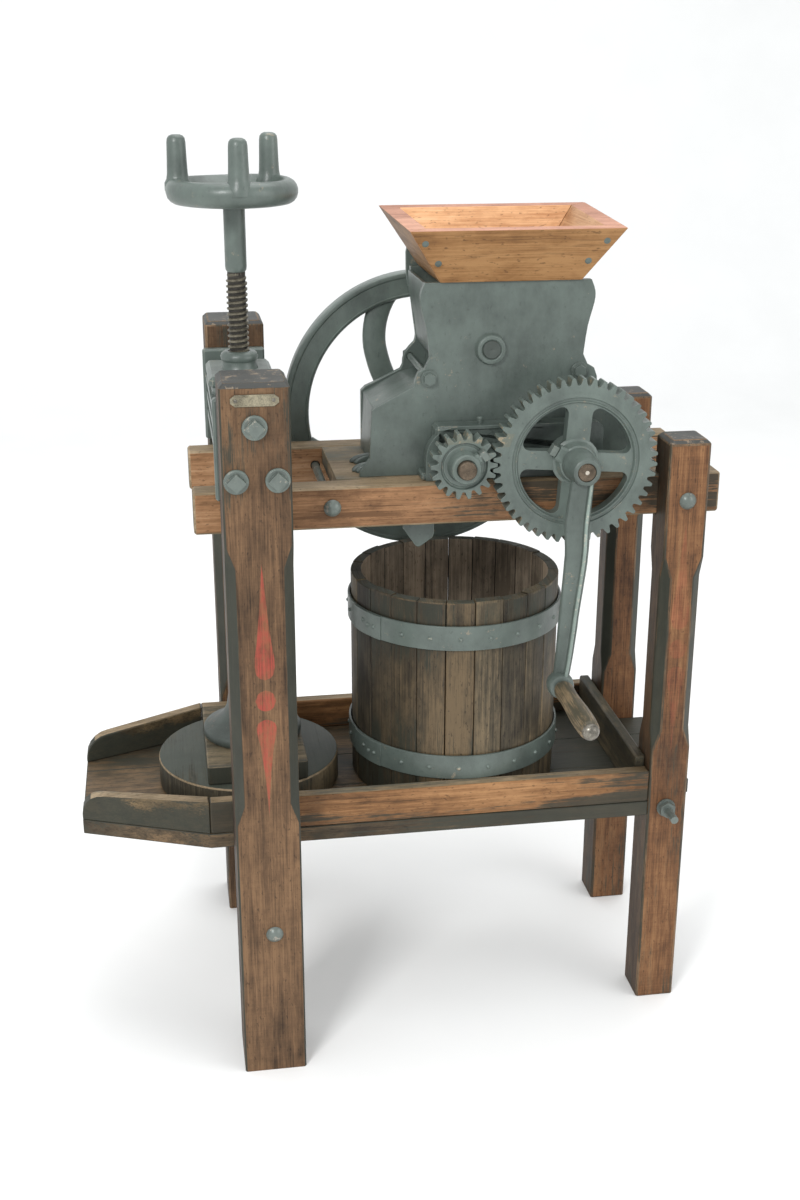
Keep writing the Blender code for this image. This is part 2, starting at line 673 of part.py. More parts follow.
def bearing_brackets():
    """A long block on the front rail holds both front bearings; a short one on the rear rail holds the drum's."""
    base = RAIL_Z[1] + GAP
    near = CASE_FRONT + GAP
    bore = SHAFT_RADIUS + RUN_GAP
    front = part("front_bearing_bracket", box((-0.031, -BRACKET_FRONT, base), (0.186, -near, 0.904), 0.004), PAINT)
    join(front, box((-0.050, -BRACKET_FRONT + 0.003, base), (0.204, -near, base + 0.010), 0.002))
    for x in (0, GEAR_X):
        join(front, across(x, SHAFT_Z, -BRACKET_FRONT - 0.012, -BRACKET_FRONT + 0.004, HUB_RADIUS + 0.004, 28))
        cut(front, across(x, SHAFT_Z, -BRACKET_FRONT - 0.03, -near + 0.01, bore, 24))
    rear = part("rear_bearing_bracket", box((-0.031, near, base), (0.031, BRACKET_FRONT, 0.904), 0.004), PAINT)
    join(rear, box((-0.050, near, base), (0.050, BRACKET_FRONT - 0.003, base + 0.010), 0.002))
    cut(rear, across(0, SHAFT_Z, near - 0.01, BRACKET_FRONT + 0.02, bore, 24))


def drum():
    """The cutter drum: a cylinder with rows of knife ridges, on a through shaft."""
    half = CASE_FRONT - CASE_PLATE - 0.0012
    ridges = 12
    outline = []
    for i in range(ridges):
        a = 360 * i / ridges
        outline += [polar(DRUM_RADIUS - 0.007, a + d, (0, SHAFT_Z)) for d in (5.0, 15.0, 25.0)]
        outline += [polar(DRUM_RADIUS, a + d, (0, SHAFT_Z)) for d in (26.5, 31.5)]
    hole = circle((0, SHAFT_Z), SHAFT_RADIUS + GAP, 24)
    part("cutter_drum", plate([outline, hole], -half, half), WOOD_DARK, (0, 0, SHAFT_Z))
    part("drum_shaft", across(0, SHAFT_Z, -0.191, FLY_Y[1] + 0.018, SHAFT_RADIUS, 24), STEEL, (0, 0, SHAFT_Z))


def feed_roller():
    """A ribbed roller above the drum that draws the apples down."""
    half = CASE_FRONT - CASE_PLATE - 0.0012
    ribs = 6
    outline = []
    for i in range(ribs):
        a = 360 * i / ribs
        outline += [polar(0.030, a + d, (FEED_X, FEED_Z)) for d in (12, 28, 44)]
        outline += [polar(FEED_RADIUS, a + d, (FEED_X, FEED_Z)) for d in (54, 62)]
    hole = circle((FEED_X, FEED_Z), SHAFT_RADIUS + GAP, 24)
    part("feed_roller", plate([outline, hole], -half, half), WOOD_DARK, (FEED_X, 0, FEED_Z))
    ends = (-CASE_FRONT - 0.011, CASE_FRONT + 0.010)
    part("feed_roller_axle", across(FEED_X, FEED_Z, *ends, SHAFT_RADIUS, 24), STEEL, (FEED_X, 0, FEED_Z))


HOPPER_FOOT = (-0.0215, 0.1735, 0.090)
HOPPER_RIM = (-0.0705, 0.2290, 0.122)


def hopper():
    """Four mitred boards that slope out from the casing's top. The rim drops slightly to the front."""
    base = CASE_TOP + GAP
    rise = HOPPER_TOP - base
    (left, right, half), (rim_left, rim_right, rim_half) = HOPPER_FOOT, HOPPER_RIM
    slope = (rim_half - half) / rise
    corners = []
    for inset in (0, HOPPER_WALL):
        foot, rim = [], []
        for x, rim_x, y, lean in (
            (left + inset, rim_left + inset, inset - half, -slope),
            (right - inset, rim_right - inset, inset - half, -slope),
            (right - inset, rim_right - inset, half - inset, slope),
            (left + inset, rim_left + inset, half - inset, slope),
        ):
            top = (HOPPER_TOP + HOPPER_TILT * (y - lean * base)) / (1 - HOPPER_TILT * lean)
            share = (top - base) / rise
            foot.append(Vector((x, y, base)))
            rim.append(Vector((x + (rim_x - x) * share, y + lean * (top - base), top)))
        corners.append((foot, rim))
    for i, where in enumerate(("front", "right", "rear", "left")):
        j = (i + 1) % 4
        rings = []
        for outer, inner in zip(*corners):
            back = (outer[j] - outer[i]).normalized() * GAP
            rings.append([outer[i] + back, outer[j] - back, inner[j] - back, inner[i] + back])
        part(f"hopper_{where}_board", loft(rings), WOOD_NEW)


def chute_tongue():
    """A pointed plate under the front of the pulp opening."""
    top = RAIL_Z[1] - BED_THICK - GAP
    outline = [(-0.071, top), (-0.071, 0.7525), (-0.0535, 0.727), (-0.049, 0.7245), (-0.044, 0.727)]
    outline += [(-0.0285, 0.7385), (-0.027, 0.744), (-0.027, top)]
    part("chute_tongue", plate([outline], -0.0900, -0.0855), PAINT)


# ---------------------------------------------------------------- gears, crank and flywheel


def involute(angle):
    return math.tan(angle) - angle


def tooth_half_angle(radius, pitch_radius, teeth):
    """Half of the tooth's angular width at a radius, for an involute tooth thinned by the backlash."""
    base = pitch_radius * math.cos(PRESSURE_ANGLE)
    at_pitch = math.pi / (2 * teeth) - BACKLASH / (2 * pitch_radius)
    here = math.acos(min(1.0, base / max(radius, base)))
    return at_pitch + involute(PRESSURE_ANGLE) - involute(here)


def gear_outline(teeth, centre, phase_degrees):
    pitch_radius = MODULE * teeth / 2
    radii = (pitch_radius - 1.2 * MODULE, pitch_radius + MODULE)
    outline = []
    for i in range(teeth):
        middle = phase_degrees + 360 * i / teeth
        flank = [(r, math.degrees(tooth_half_angle(r, pitch_radius, teeth))) for r in radii]
        outline += [polar(r, middle - half, centre) for r, half in flank]
        outline += [polar(r, middle + half, centre) for r, half in reversed(flank)]
    return outline


def crank_gear():
    centre = (GEAR_X, SHAFT_Z)
    y0, y1 = GEAR_FACE
    teeth = gear_outline(GEAR_TEETH, centre, 180 / GEAR_TEETH)
    rim = plate([teeth, circle(centre, 0.0760, 48)], y0, y1)
    gear = part("crank_gear", rim, PAINT, (GEAR_X, 0, SHAFT_Z))
    for turn, half in ((4, 0.0130), (94, 0.0165)):
        bar = box((-0.080, y0 + 0.006, -half), (0.080, y1 - 0.006, half))
        bar.transform(Matrix.Translation((GEAR_X, 0, SHAFT_Z)) @ Matrix.Rotation(math.radians(turn), 4, "Y"))
        join(gear, bar)
    join(gear, across(*centre, y0 - 0.012, y1 + 0.004, 0.0265, 28))
    cut(gear, across(*centre, y0 - 0.05, y1 + 0.05, SHAFT_RADIUS + GAP, 24))
    near = -CASE_FRONT - 2 * GAP
    part("crank_shaft", across(*centre, CRANK_FACE[0] + 0.012, near, SHAFT_RADIUS, 24), STEEL, (GEAR_X, 0, SHAFT_Z))


def pinion():
    y0, y1 = GEAR_FACE
    teeth = gear_outline(PINION_TEETH, (0, SHAFT_Z), 0)
    gear = part("drum_pinion", plate([teeth], y0, y1), PAINT, (0, 0, SHAFT_Z))
    join(gear, across(0, SHAFT_Z, y0 - 0.018, y1 + 0.004, HUB_RADIUS, 28))
    cut(gear, across(0, SHAFT_Z, y0 - 0.05, y1 + 0.05, SHAFT_RADIUS + GAP, 24))


def crank_arm():
    """Two hubs joined by a slightly bowed arm with a raised rib on its front."""
    top, end = (GEAR_X, SHAFT_Z), CRANK_END
    path = smooth_line([top, (0.1500, 0.790), (0.1510, 0.740), (0.1440, 0.665), (0.1375, 0.590), end], 2)
    back = CRANK_FACE[1] - 0.003
    rings = []
    for k, (x, z) in enumerate(path):
        share = k / (len(path) - 1)
        half = 0.0175 - 0.0055 * share
        face = back - 0.0075
        ridge = CRANK_FACE[0] + 0.004
        ring = [(x - half, back, z), (x + half, back, z), (x + half, face, z), (x + 0.0045, face, z)]
        ring += [(x + 0.0035, ridge, z), (x - 0.0035, ridge, z), (x - 0.0045, face, z), (x - half, face, z)]
        rings.append(ring)
    arm = part("crank_arm", loft(rings), PAINT, (GEAR_X, 0, SHAFT_Z))
    join(arm, across(*top, GEAR_FACE[0] - 0.012 - GAP, CRANK_FACE[0] + 0.010, HUB_RADIUS + 0.001, 28))
    join(arm, across(*end, CRANK_FACE[1] + 0.002, CRANK_FACE[0], 0.0165, 24))
    cut(arm, across(*top, -0.15, -0.24, SHAFT_RADIUS + GAP, 24))
    cut(arm, across(*end, -0.15, -0.24, 0.0055 + GAP, 16))


def crank_grip():
    """A turned wooden grip that spins on a pin with a domed end cap."""
    front = CRANK_FACE[0]
    x, z = CRANK_END
    start, end = front - 0.0006, -0.3660
    length = start - end
    shape = [(0, 0.0105), (0.006, 0.0128), (0.030, 0.0118), (0.075, 0.0140), (0.110, 0.0142), (length, 0.0115)]
    profile = [(0, length)] + [(r, s) for s, r in reversed(shape)] + [(0, 0)]
    grip = part("crank_grip", turned(profile, (x, start, z), (0, -1, 0), 24), WOOD_DARK, (x, start, z))
    cut(grip, across(x, z, start + 0.01, end - 0.01, 0.0055 + RUN_GAP, 16))
    cap = [(0, 0), (0.0115, 0), (0.0118, 0.003), (0.0095, 0.0068), (0.005, 0.0086), (0, 0.0090)]
    pin = part("grip_pin", turned(cap[::-1], (x, end - 0.0006, z), (0, -1, 0), 20), STEEL, (GEAR_X, 0, SHAFT_Z))
    join(pin, across(x, z, end - 0.002, CRANK_FACE[1] + 0.001, 0.0055, 16))


def flywheel():
    """A heavy rim on curved spokes, behind the rear rail on the drum's shaft."""
    y0, y1 = FLY_Y
    inner = FLY_RADIUS - FLY_RIM
    half = (y1 - y0) / 2
    rim = [(inner, half), (FLY_RADIUS, half), (FLY_RADIUS, -half), (inner, -half)]
    middle = (0, (y0 + y1) / 2, SHAFT_Z)
    wheel = part("flywheel", turned(rim, middle, (0, 1, 0), 56), PAINT, (0, 0, SHAFT_Z))
    for i in range(FLY_SPOKES):
        join(wheel, plate([spoke_outline(i * 360 / FLY_SPOKES, inner + 0.008)], y0 + 0.009, y1 - 0.009))
    join(wheel, across(0, SHAFT_Z, y0 - 0.006, y1 + 0.006, 0.034, 28))
    cut(wheel, across(0, SHAFT_Z, y0 - 0.05, y1 + 0.05, SHAFT_RADIUS + GAP, 24))


def spoke_outline(turn, reach):
    """A curved spoke: its line sweeps back about 45 degrees between the rim and the hub."""
    line = [(reach, 110), (0.155, 117), (0.130, 124), (0.105, 130), (0.080, 137), (0.050, 150), (0.024, 172)]
    left = [polar(r, a + turn + math.degrees(0.0185 / r), (0, SHAFT_Z)) for r, a in line]
    right = [polar(r, a + turn - math.degrees(0.0185 / r), (0, SHAFT_Z)) for r, a in line]
    return left + right[::-1]


def blank_tag():
    z = 0.983
    face = -(LEFT_FAR + GAP)
    part("blank_tag", box((LEFT_X - 0.030, face - 0.0012, z - 0.0075), (LEFT_X + 0.030, face, z + 0.0075)), BRASS)


frame_posts()
rails()
mill_bed()
frame_fasteners()
tray_floor()
tray_side_boards()
spout_boards()
tub()
follower()
screw_foot()
press_screw()
handwheel()
yoke()
yoke_bolts()
casing_plates()
casing_covers()
casing_bolts()
bearing_brackets()
drum()
feed_roller()
hopper()
chute_tongue()
crank_gear()
pinion()
crank_arm()
crank_grip()
flywheel()
blank_tag()
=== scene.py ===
"""Looks for the apple cider press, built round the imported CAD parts.

Every piece is made in the CAD's own frame. Design coordinates have x = 0 and y = 0 on the cutter
drum's centre and z = 0 on the floor, and SHIFT takes them to the CAD's frame.
"""

import json
import math
import random

import bmesh
import bpy
from mathutils import Matrix, Vector


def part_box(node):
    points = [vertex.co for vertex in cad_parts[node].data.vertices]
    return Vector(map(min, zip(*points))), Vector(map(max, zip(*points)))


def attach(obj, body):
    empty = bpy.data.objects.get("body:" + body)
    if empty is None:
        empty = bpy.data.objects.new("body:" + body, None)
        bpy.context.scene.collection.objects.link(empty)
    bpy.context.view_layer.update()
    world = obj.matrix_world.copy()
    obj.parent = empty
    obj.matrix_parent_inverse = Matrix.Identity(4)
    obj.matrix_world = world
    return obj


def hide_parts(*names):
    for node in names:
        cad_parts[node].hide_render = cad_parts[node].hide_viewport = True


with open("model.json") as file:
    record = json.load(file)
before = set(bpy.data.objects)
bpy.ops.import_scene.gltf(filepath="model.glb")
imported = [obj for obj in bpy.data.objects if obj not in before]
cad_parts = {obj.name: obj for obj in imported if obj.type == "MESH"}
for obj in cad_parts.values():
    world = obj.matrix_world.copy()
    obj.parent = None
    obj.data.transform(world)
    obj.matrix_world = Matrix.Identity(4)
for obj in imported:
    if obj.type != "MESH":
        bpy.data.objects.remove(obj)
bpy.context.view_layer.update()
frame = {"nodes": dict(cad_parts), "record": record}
BODY_OF = {node: body for body, nodes in frame["record"]["behaviour"]["bodies"].items() for node in nodes}
RNG = random.Random(7)

X, Y, Z = range(3)
UP, FRONT, BACK = (0, 0, 1), (0, -1, 0), (0, 1, 0)


def middle(node):
    low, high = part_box(node)
    return (low + high) / 2


DRUM = middle("cutter_drum")
SHIFT = Vector((DRUM.x, DRUM.y, 0))


def place(node):
    """The middle of a CAD node, in design coordinates."""
    return middle(node) - SHIFT


def span(node, axis):
    """The lowest and highest design coordinate of a CAD node along an axis."""
    low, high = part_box(node)
    return low[axis] - SHIFT[axis], high[axis] - SHIFT[axis]


def half_span(node, axis):
    low, high = span(node, axis)
    return (high - low) / 2


SHAFT_Z = DRUM.z
GEAR_X = place("crank_gear").x
GRIP = place("crank_grip")
SCREW_X = place("press_screw").x
TUB_X = place("tub_staves").x
TUB_Z = span("tub_staves", Z)
ON_DRUM, ON_GEAR, ON_SCREW, ON_TUB = (0, 0, SHAFT_Z), (GEAR_X, 0, SHAFT_Z), (SCREW_X, 0, 0), (TUB_X, 0, 0)


# ---- materials

# The Mix node's colour inputs and output by number, as its other types have the same names.
MIX_UNDER, MIX_OVER, MIX_COLOUR = 6, 7, 2


class Finish:
    """A node material while it is put together. Its coordinates are the CAD's, in metres."""

    def __init__(self, name):
        self.material = bpy.data.materials.new(name)
        self.material.use_nodes = True
        self.shader = self.material.node_tree.nodes["Principled BSDF"]
        self.place = self.add("TexCoord").outputs["Object"]

    def add(self, kind, fed=(), **settings):
        """A shader node with its settings, and with a value or socket for each named input."""
        node = self.material.node_tree.nodes.new("ShaderNode" + kind)
        for key, value in settings.items():
            setattr(node, key, value)
        for key, value in dict(fed).items():
            self.feed(node.inputs[key], value)
        return node

    def feed(self, socket, value):
        if isinstance(value, bpy.types.NodeSocket):
            self.material.node_tree.links.new(value, socket)
        else:
            socket.default_value = value

    def noise(self, scale, detail=3, rough=0.55, offset=(0, 0, 0), stretch=(1, 1, 1), warp=0.0):
        place = self.add("Mapping", {"Vector": self.place, "Scale": stretch, "Location": offset})
        fed = {"Vector": place.outputs[0], "Scale": scale, "Detail": detail, "Roughness": rough}
        return self.add("TexNoise", fed | {"Distortion": warp}).outputs["Fac"]

    def math(self, operation, *values):
        return self.add("Math", enumerate(values), operation=operation).outputs[0]

    def times(self, value, other):
        return self.math("MULTIPLY", value, other)

    def sum(self, *weighted):
        """The sum of (weight, value) pairs."""
        total, *terms = [self.times(value, weight) for weight, value in weighted]
        for term in terms:
            total = self.math("ADD", total, term)
        return total

    def step(self, value, low, high):
        """0 at low and 1 at high, with a smooth change between."""
        fed = {"Value": value, "From Min": low, "From Max": high}
        return self.add("MapRange", fed, interpolation_type="SMOOTHSTEP").outputs["Result"]

    def between(self, value, low, high):
        return self.add("MapRange", {"Value": value, "To Min": low, "To Max": high}).outputs["Result"]

    def ramp(self, value, *stops):
        """A colour ramp through (position, colour) stops."""
        node = self.add("ValToRGB", {"Fac": value})
        points = node.color_ramp.elements
        while len(points) < len(stops):
            points.new(0.5)
        for point, (position, colour) in zip(points, stops):
            point.position = position
            point.color = (*colour, 1)
        return node.outputs["Color"]

    def mix(self, share, under, over):
        """One colour over a share of another. Each is a socket or three numbers."""
        under, over = (c if isinstance(c, bpy.types.NodeSocket) else (*c, 1) for c in (under, over))
        fed = {"Factor": share, MIX_UNDER: under, MIX_OVER: over}
        return self.add("Mix", fed, data_type="RGBA").outputs[MIX_COLOUR]

    def axis(self, name):
        return self.add("SeparateXYZ", {0: self.place}).outputs[name]

    def done(self, colour, rough, height=None, depth=0.0005, metal=0.0, strength=0.5, shine=0.5):
        self.feed(self.shader.inputs["Base Color"], colour)
        self.shader.inputs["Specular IOR Level"].default_value = shine
        self.feed(self.shader.inputs["Roughness"], rough)
        self.shader.inputs["Metallic"].default_value = metal
        if height is not None:
            node = self.add("Bump", {"Strength": strength, "Distance": depth, "Height": height})
            self.feed(self.shader.inputs["Normal"], node.outputs["Normal"])
        return self.material


def tint(colour, *shares):
    """A colour, or each colour of a palette, times one share or one for each channel."""
    if not isinstance(colour[0], float):
        return [tint(c, *shares) for c in colour]
    return [c * k for c, k in zip(colour, shares * 3)]


# How far a noise is stretched along the grain.
ALONG = {"x": (0.045, 1, 1), "y": (1, 0.045, 1), "z": (1, 1, 0.045)}
PAINT_DARK = (0.027, 0.030, 0.022)
PAINT_GREEN = (0.088, 0.110, 0.097)
MOTIF_DARK, MOTIF_RED = (0.26, 0.085, 0.040), (0.36, 0.050, 0.036)


def wood(name, grain, shades, seed, cover=0.0, zones=(), rough=0.58, paint=PAINT_DARK, tone=0.0, motif=None,
         sawn=0.0):
    """Wood with its grain along an axis, and with paint left on a share of it.

    A zone is (axis, start, end, amount): the amount of paint it adds rises from start to end.
    Tone is how much each face's own tone counts. Sawn is the strength of the marks across the grain.
    """
    f = Finish(name)
    along = ALONG[grain]
    at = (seed, seed * 0.7, seed * 1.3)
    half_way = [0.35 + 0.65 * k for k in along]
    cloud = f.noise(6, 5, 0.62, at, half_way)
    lines = f.noise(120, 6, 0.68, at, along, 0.25)
    fibre = f.noise(520, 3, 0.62, at, [0.5 * k + 0.5 * k * k for k in along])
    pits = f.noise(310, 2, 0.5, at, half_way)
    mottle = f.noise(48, 6, 0.72, [k + 7.7 for k in at], [0.5 + 0.5 * k for k in along], 0.3)
    figure = f.sum((0.34, cloud), (0.20, mottle), (0.26, lines), (0.20, fibre))
    if sawn:
        across = f.noise(420, 2, 0.5, at, [0.03 if k == 1 else 1 for k in along])
        figure = f.math("ADD", figure, f.times(f.math("SUBTRACT", across, 0.5), sawn))
    if tone:
        node = f.add("Attribute", attribute_name="tone")
        figure = f.math("ADD", figure, f.times(node.outputs["Fac"], tone))
    dark, mid, light = shades
    colour = f.ramp(figure, (0.42, dark), (0.50, mid), (0.58, light))
    colour = f.mix(f.times(f.step(pits, 0.62, 0.72), 0.55), colour, tint(dark, 0.35))
    streak = f.noise(210, 5, 0.72, [k + 3.1 for k in at], along)
    colour = f.mix(f.times(f.step(streak, 0.57, 0.68), 0.36), colour, tint(dark, 0.50))
    if motif:
        red = f.ramp(f.noise(55, 6, 0.7, stretch=(1, 1, 0.5)), (0.40, MOTIF_DARK), (0.58, MOTIF_RED))
        colour = f.mix(painted_motif(f, *motif, f.sum((0.5, fibre), (0.5, mottle))), colour, red)
    if cover:
        worn = f.sum((0.46, f.noise(13, 8, 0.66, at, half_way)), (0.26, lines), (0.28, fibre))
        for axis, start, end, amount in zones:
            worn = f.math("ADD", worn, f.times(f.step(f.axis(axis), start, end), amount))
        left = f.step(worn, 0.60 - 0.20 * cover, 0.67 - 0.20 * cover)
        shade = f.mix(f.noise(20, 5, 0.65), tint(paint, 0.66), tint(paint, 1.38))
        colour = f.mix(f.times(left, 0.90), colour, shade)
    height = f.sum((0.45, lines), (0.35, fibre), (0.20, pits))
    return f.done(colour, f.between(figure, rough + 0.12, rough - 0.10), height, 0.0011, shine=0.30)


# The painted motif's height on the posts, and its outline from the lower point up as
# (share of its height, half width). The half widths are curve values of MOTIF_SCALE metres.
MOTIF_Z = (0.402, 0.778)
MOTIF_SCALE = 0.02
TEARDROP = (
    (0.0, 0.0), (0.10, 0.0022), (0.20, 0.0050), (0.30, 0.0095), (0.345, 0.0130), (0.375, 0.0140),
    (0.392, 0.0118), (0.402, 0.0060), (0.405, 0.0), (0.437, 0.0), (0.440, 0.0060), (0.451, 0.0110),
    (0.477, 0.0144), (0.503, 0.0110), (0.514, 0.0060), (0.517, 0.0), (0.556, 0.0), (0.561, 0.0070),
    (0.575, 0.0118), (0.605, 0.0138), (0.640, 0.0134), (0.70, 0.0100), (0.80, 0.0062), (0.90, 0.0033),
    (1.0, 0.0),
)


def painted_motif(f, x, y, strength, fibre):
    """A mask for the painted shape, in front of y and symmetric about x."""
    low, high = MOTIF_Z
    height = f.add("MapRange", {"Value": f.axis("Z"), "From Min": low, "From Max": high})
    curve = f.add("FloatCurve", {"Value": height.outputs["Result"]})
    points = curve.mapping.curves[0].points
    while len(points) < len(TEARDROP):
        points.new(0.5, 0.5)
    for point, (share, half) in zip(points, TEARDROP):
        point.location = (share, half / MOTIF_SCALE)
        point.handle_type = "VECTOR"
    curve.mapping.update()
    half = f.times(curve.outputs[0], MOTIF_SCALE)
    from_line = f.math("ABSOLUTE", f.math("SUBTRACT", f.axis("X"), x))
    inside = f.step(f.math("SUBTRACT", half, from_line), 0.0002, 0.0014)
    before = f.step(f.axis("Y"), y + 0.001, y - 0.001)
    worn = f.times(f.between(f.step(fibre, 0.40, 0.56), 0.45, 1.0), before)
    return f.times(f.times(inside, worn), strength)


def iron(name, base=PAINT_GREEN, worn=(0.22, 0.19, 0.14), wear=0.1, rough=0.35, metal=0.0, seed=0.0):
    """Old paint on cast iron: cloudy, slightly grimy, and chipped on a share of it."""
    f = Finish(name)
    at = (seed, seed, seed)
    cloud = f.noise(9, 4, 0.6, at)
    grime = f.noise(38, 6, 0.7, at, (1, 1, 0.6))
    pits = f.noise(330, 2, 0.5, at)
    tone = f.sum((0.55, cloud), (0.45, grime))
    colour = f.ramp(tone, (0.38, tint(base, 0.72)), (0.50, base), (0.63, tint(base, 1.24)))
    specks = f.step(f.noise(160, 4, 0.7, [k + 2.3 for k in at], (1, 1, 0.7)), 0.60, 0.70)
    colour = f.mix(f.times(specks, 0.45), colour, tint(base, 0.45))
    chips = f.sum((0.75, f.noise(70, 8, 0.75, at)), (0.25, cloud))
    chips = f.step(chips, 0.63 - 0.3 * wear, 0.66 - 0.3 * wear)
    colour = f.mix(f.times(chips, 0.85), colour, worn)
    height = f.sum((0.35, pits), (0.65, f.noise(60, 5, 0.6, at)))
    return f.done(colour, f.between(tone, rough + 0.14, rough - 0.12), height, 0.0012, metal, 0.45)


def steel(name, base, rough, metal, seed):
    """Bare metal, cloudy and slightly rusty."""
    f = Finish(name)
    at = (seed, seed, seed)
    cloud = f.noise(60, 6, 0.7, at)
    fine = f.noise(600, 2, 0.5, at)
    tone = f.sum((0.7, cloud), (0.3, fine))
    colour = f.ramp(tone, (0.36, tint(base, 0.45)), (0.52, base), (0.68, tint(base, 1.7)))
    return f.done(colour, f.between(tone, rough + 0.18, rough - 0.12), cloud, 0.0004, metal, 0.4)


def floor_finish():
    f = Finish("studio_floor")
    return f.done(f.ramp(f.noise(3), (0.3, (0.90, 0.90, 0.89)), (0.7, (0.93, 0.93, 0.92))), 0.85)


# Each palette is a wood's dark, middle and light shade.
BROWN = ((0.034, 0.019, 0.009), (0.104, 0.057, 0.028), (0.192, 0.108, 0.053))
ORANGE = ((0.055, 0.025, 0.011), (0.146, 0.065, 0.026), (0.250, 0.124, 0.052))
RAIL = ((0.130, 0.063, 0.027), (0.300, 0.155, 0.072), (0.440, 0.255, 0.136))
BOARD = ((0.085, 0.040, 0.015), (0.222, 0.106, 0.041), (0.360, 0.188, 0.080))
EDGE = ((0.050, 0.029, 0.014), (0.122, 0.072, 0.037), (0.240, 0.152, 0.084))
STAVE = ((0.018, 0.014, 0.009), (0.062, 0.049, 0.030), (0.158, 0.116, 0.066))
STAVE_WORN = ((0.018, 0.014, 0.009), (0.054, 0.040, 0.023), (0.130, 0.090, 0.048))
STAVE_IN = ((0.120, 0.095, 0.068), (0.260, 0.210, 0.155), (0.460, 0.360, 0.260))
DARK_WOOD = ((0.024, 0.020, 0.013), (0.068, 0.056, 0.034), (0.165, 0.125, 0.072))
PALE = ((0.130, 0.092, 0.050), (0.235, 0.172, 0.100), (0.400, 0.300, 0.190))
HOPPER = ((0.110, 0.050, 0.016), (0.225, 0.108, 0.036), (0.330, 0.175, 0.068))
HOPPER_IN = ((0.480, 0.235, 0.105), (0.690, 0.390, 0.200), (0.830, 0.520, 0.300))
HOPPER_RIM = ((0.250, 0.105, 0.062), (0.400, 0.190, 0.120), (0.560, 0.290, 0.190))

LEFT_MOTIF = (place("left_front_post").x + 0.002 + SHIFT.x, middle("left_front_post").y, 0.76)
RIGHT_MOTIF = (*middle("right_front_post").xy, 0.20)


def x_zone(start, end, amount):
    """A zone of paint along x, in design coordinates."""
    return ("X", SHIFT.x + start, SHIFT.x + end, amount)


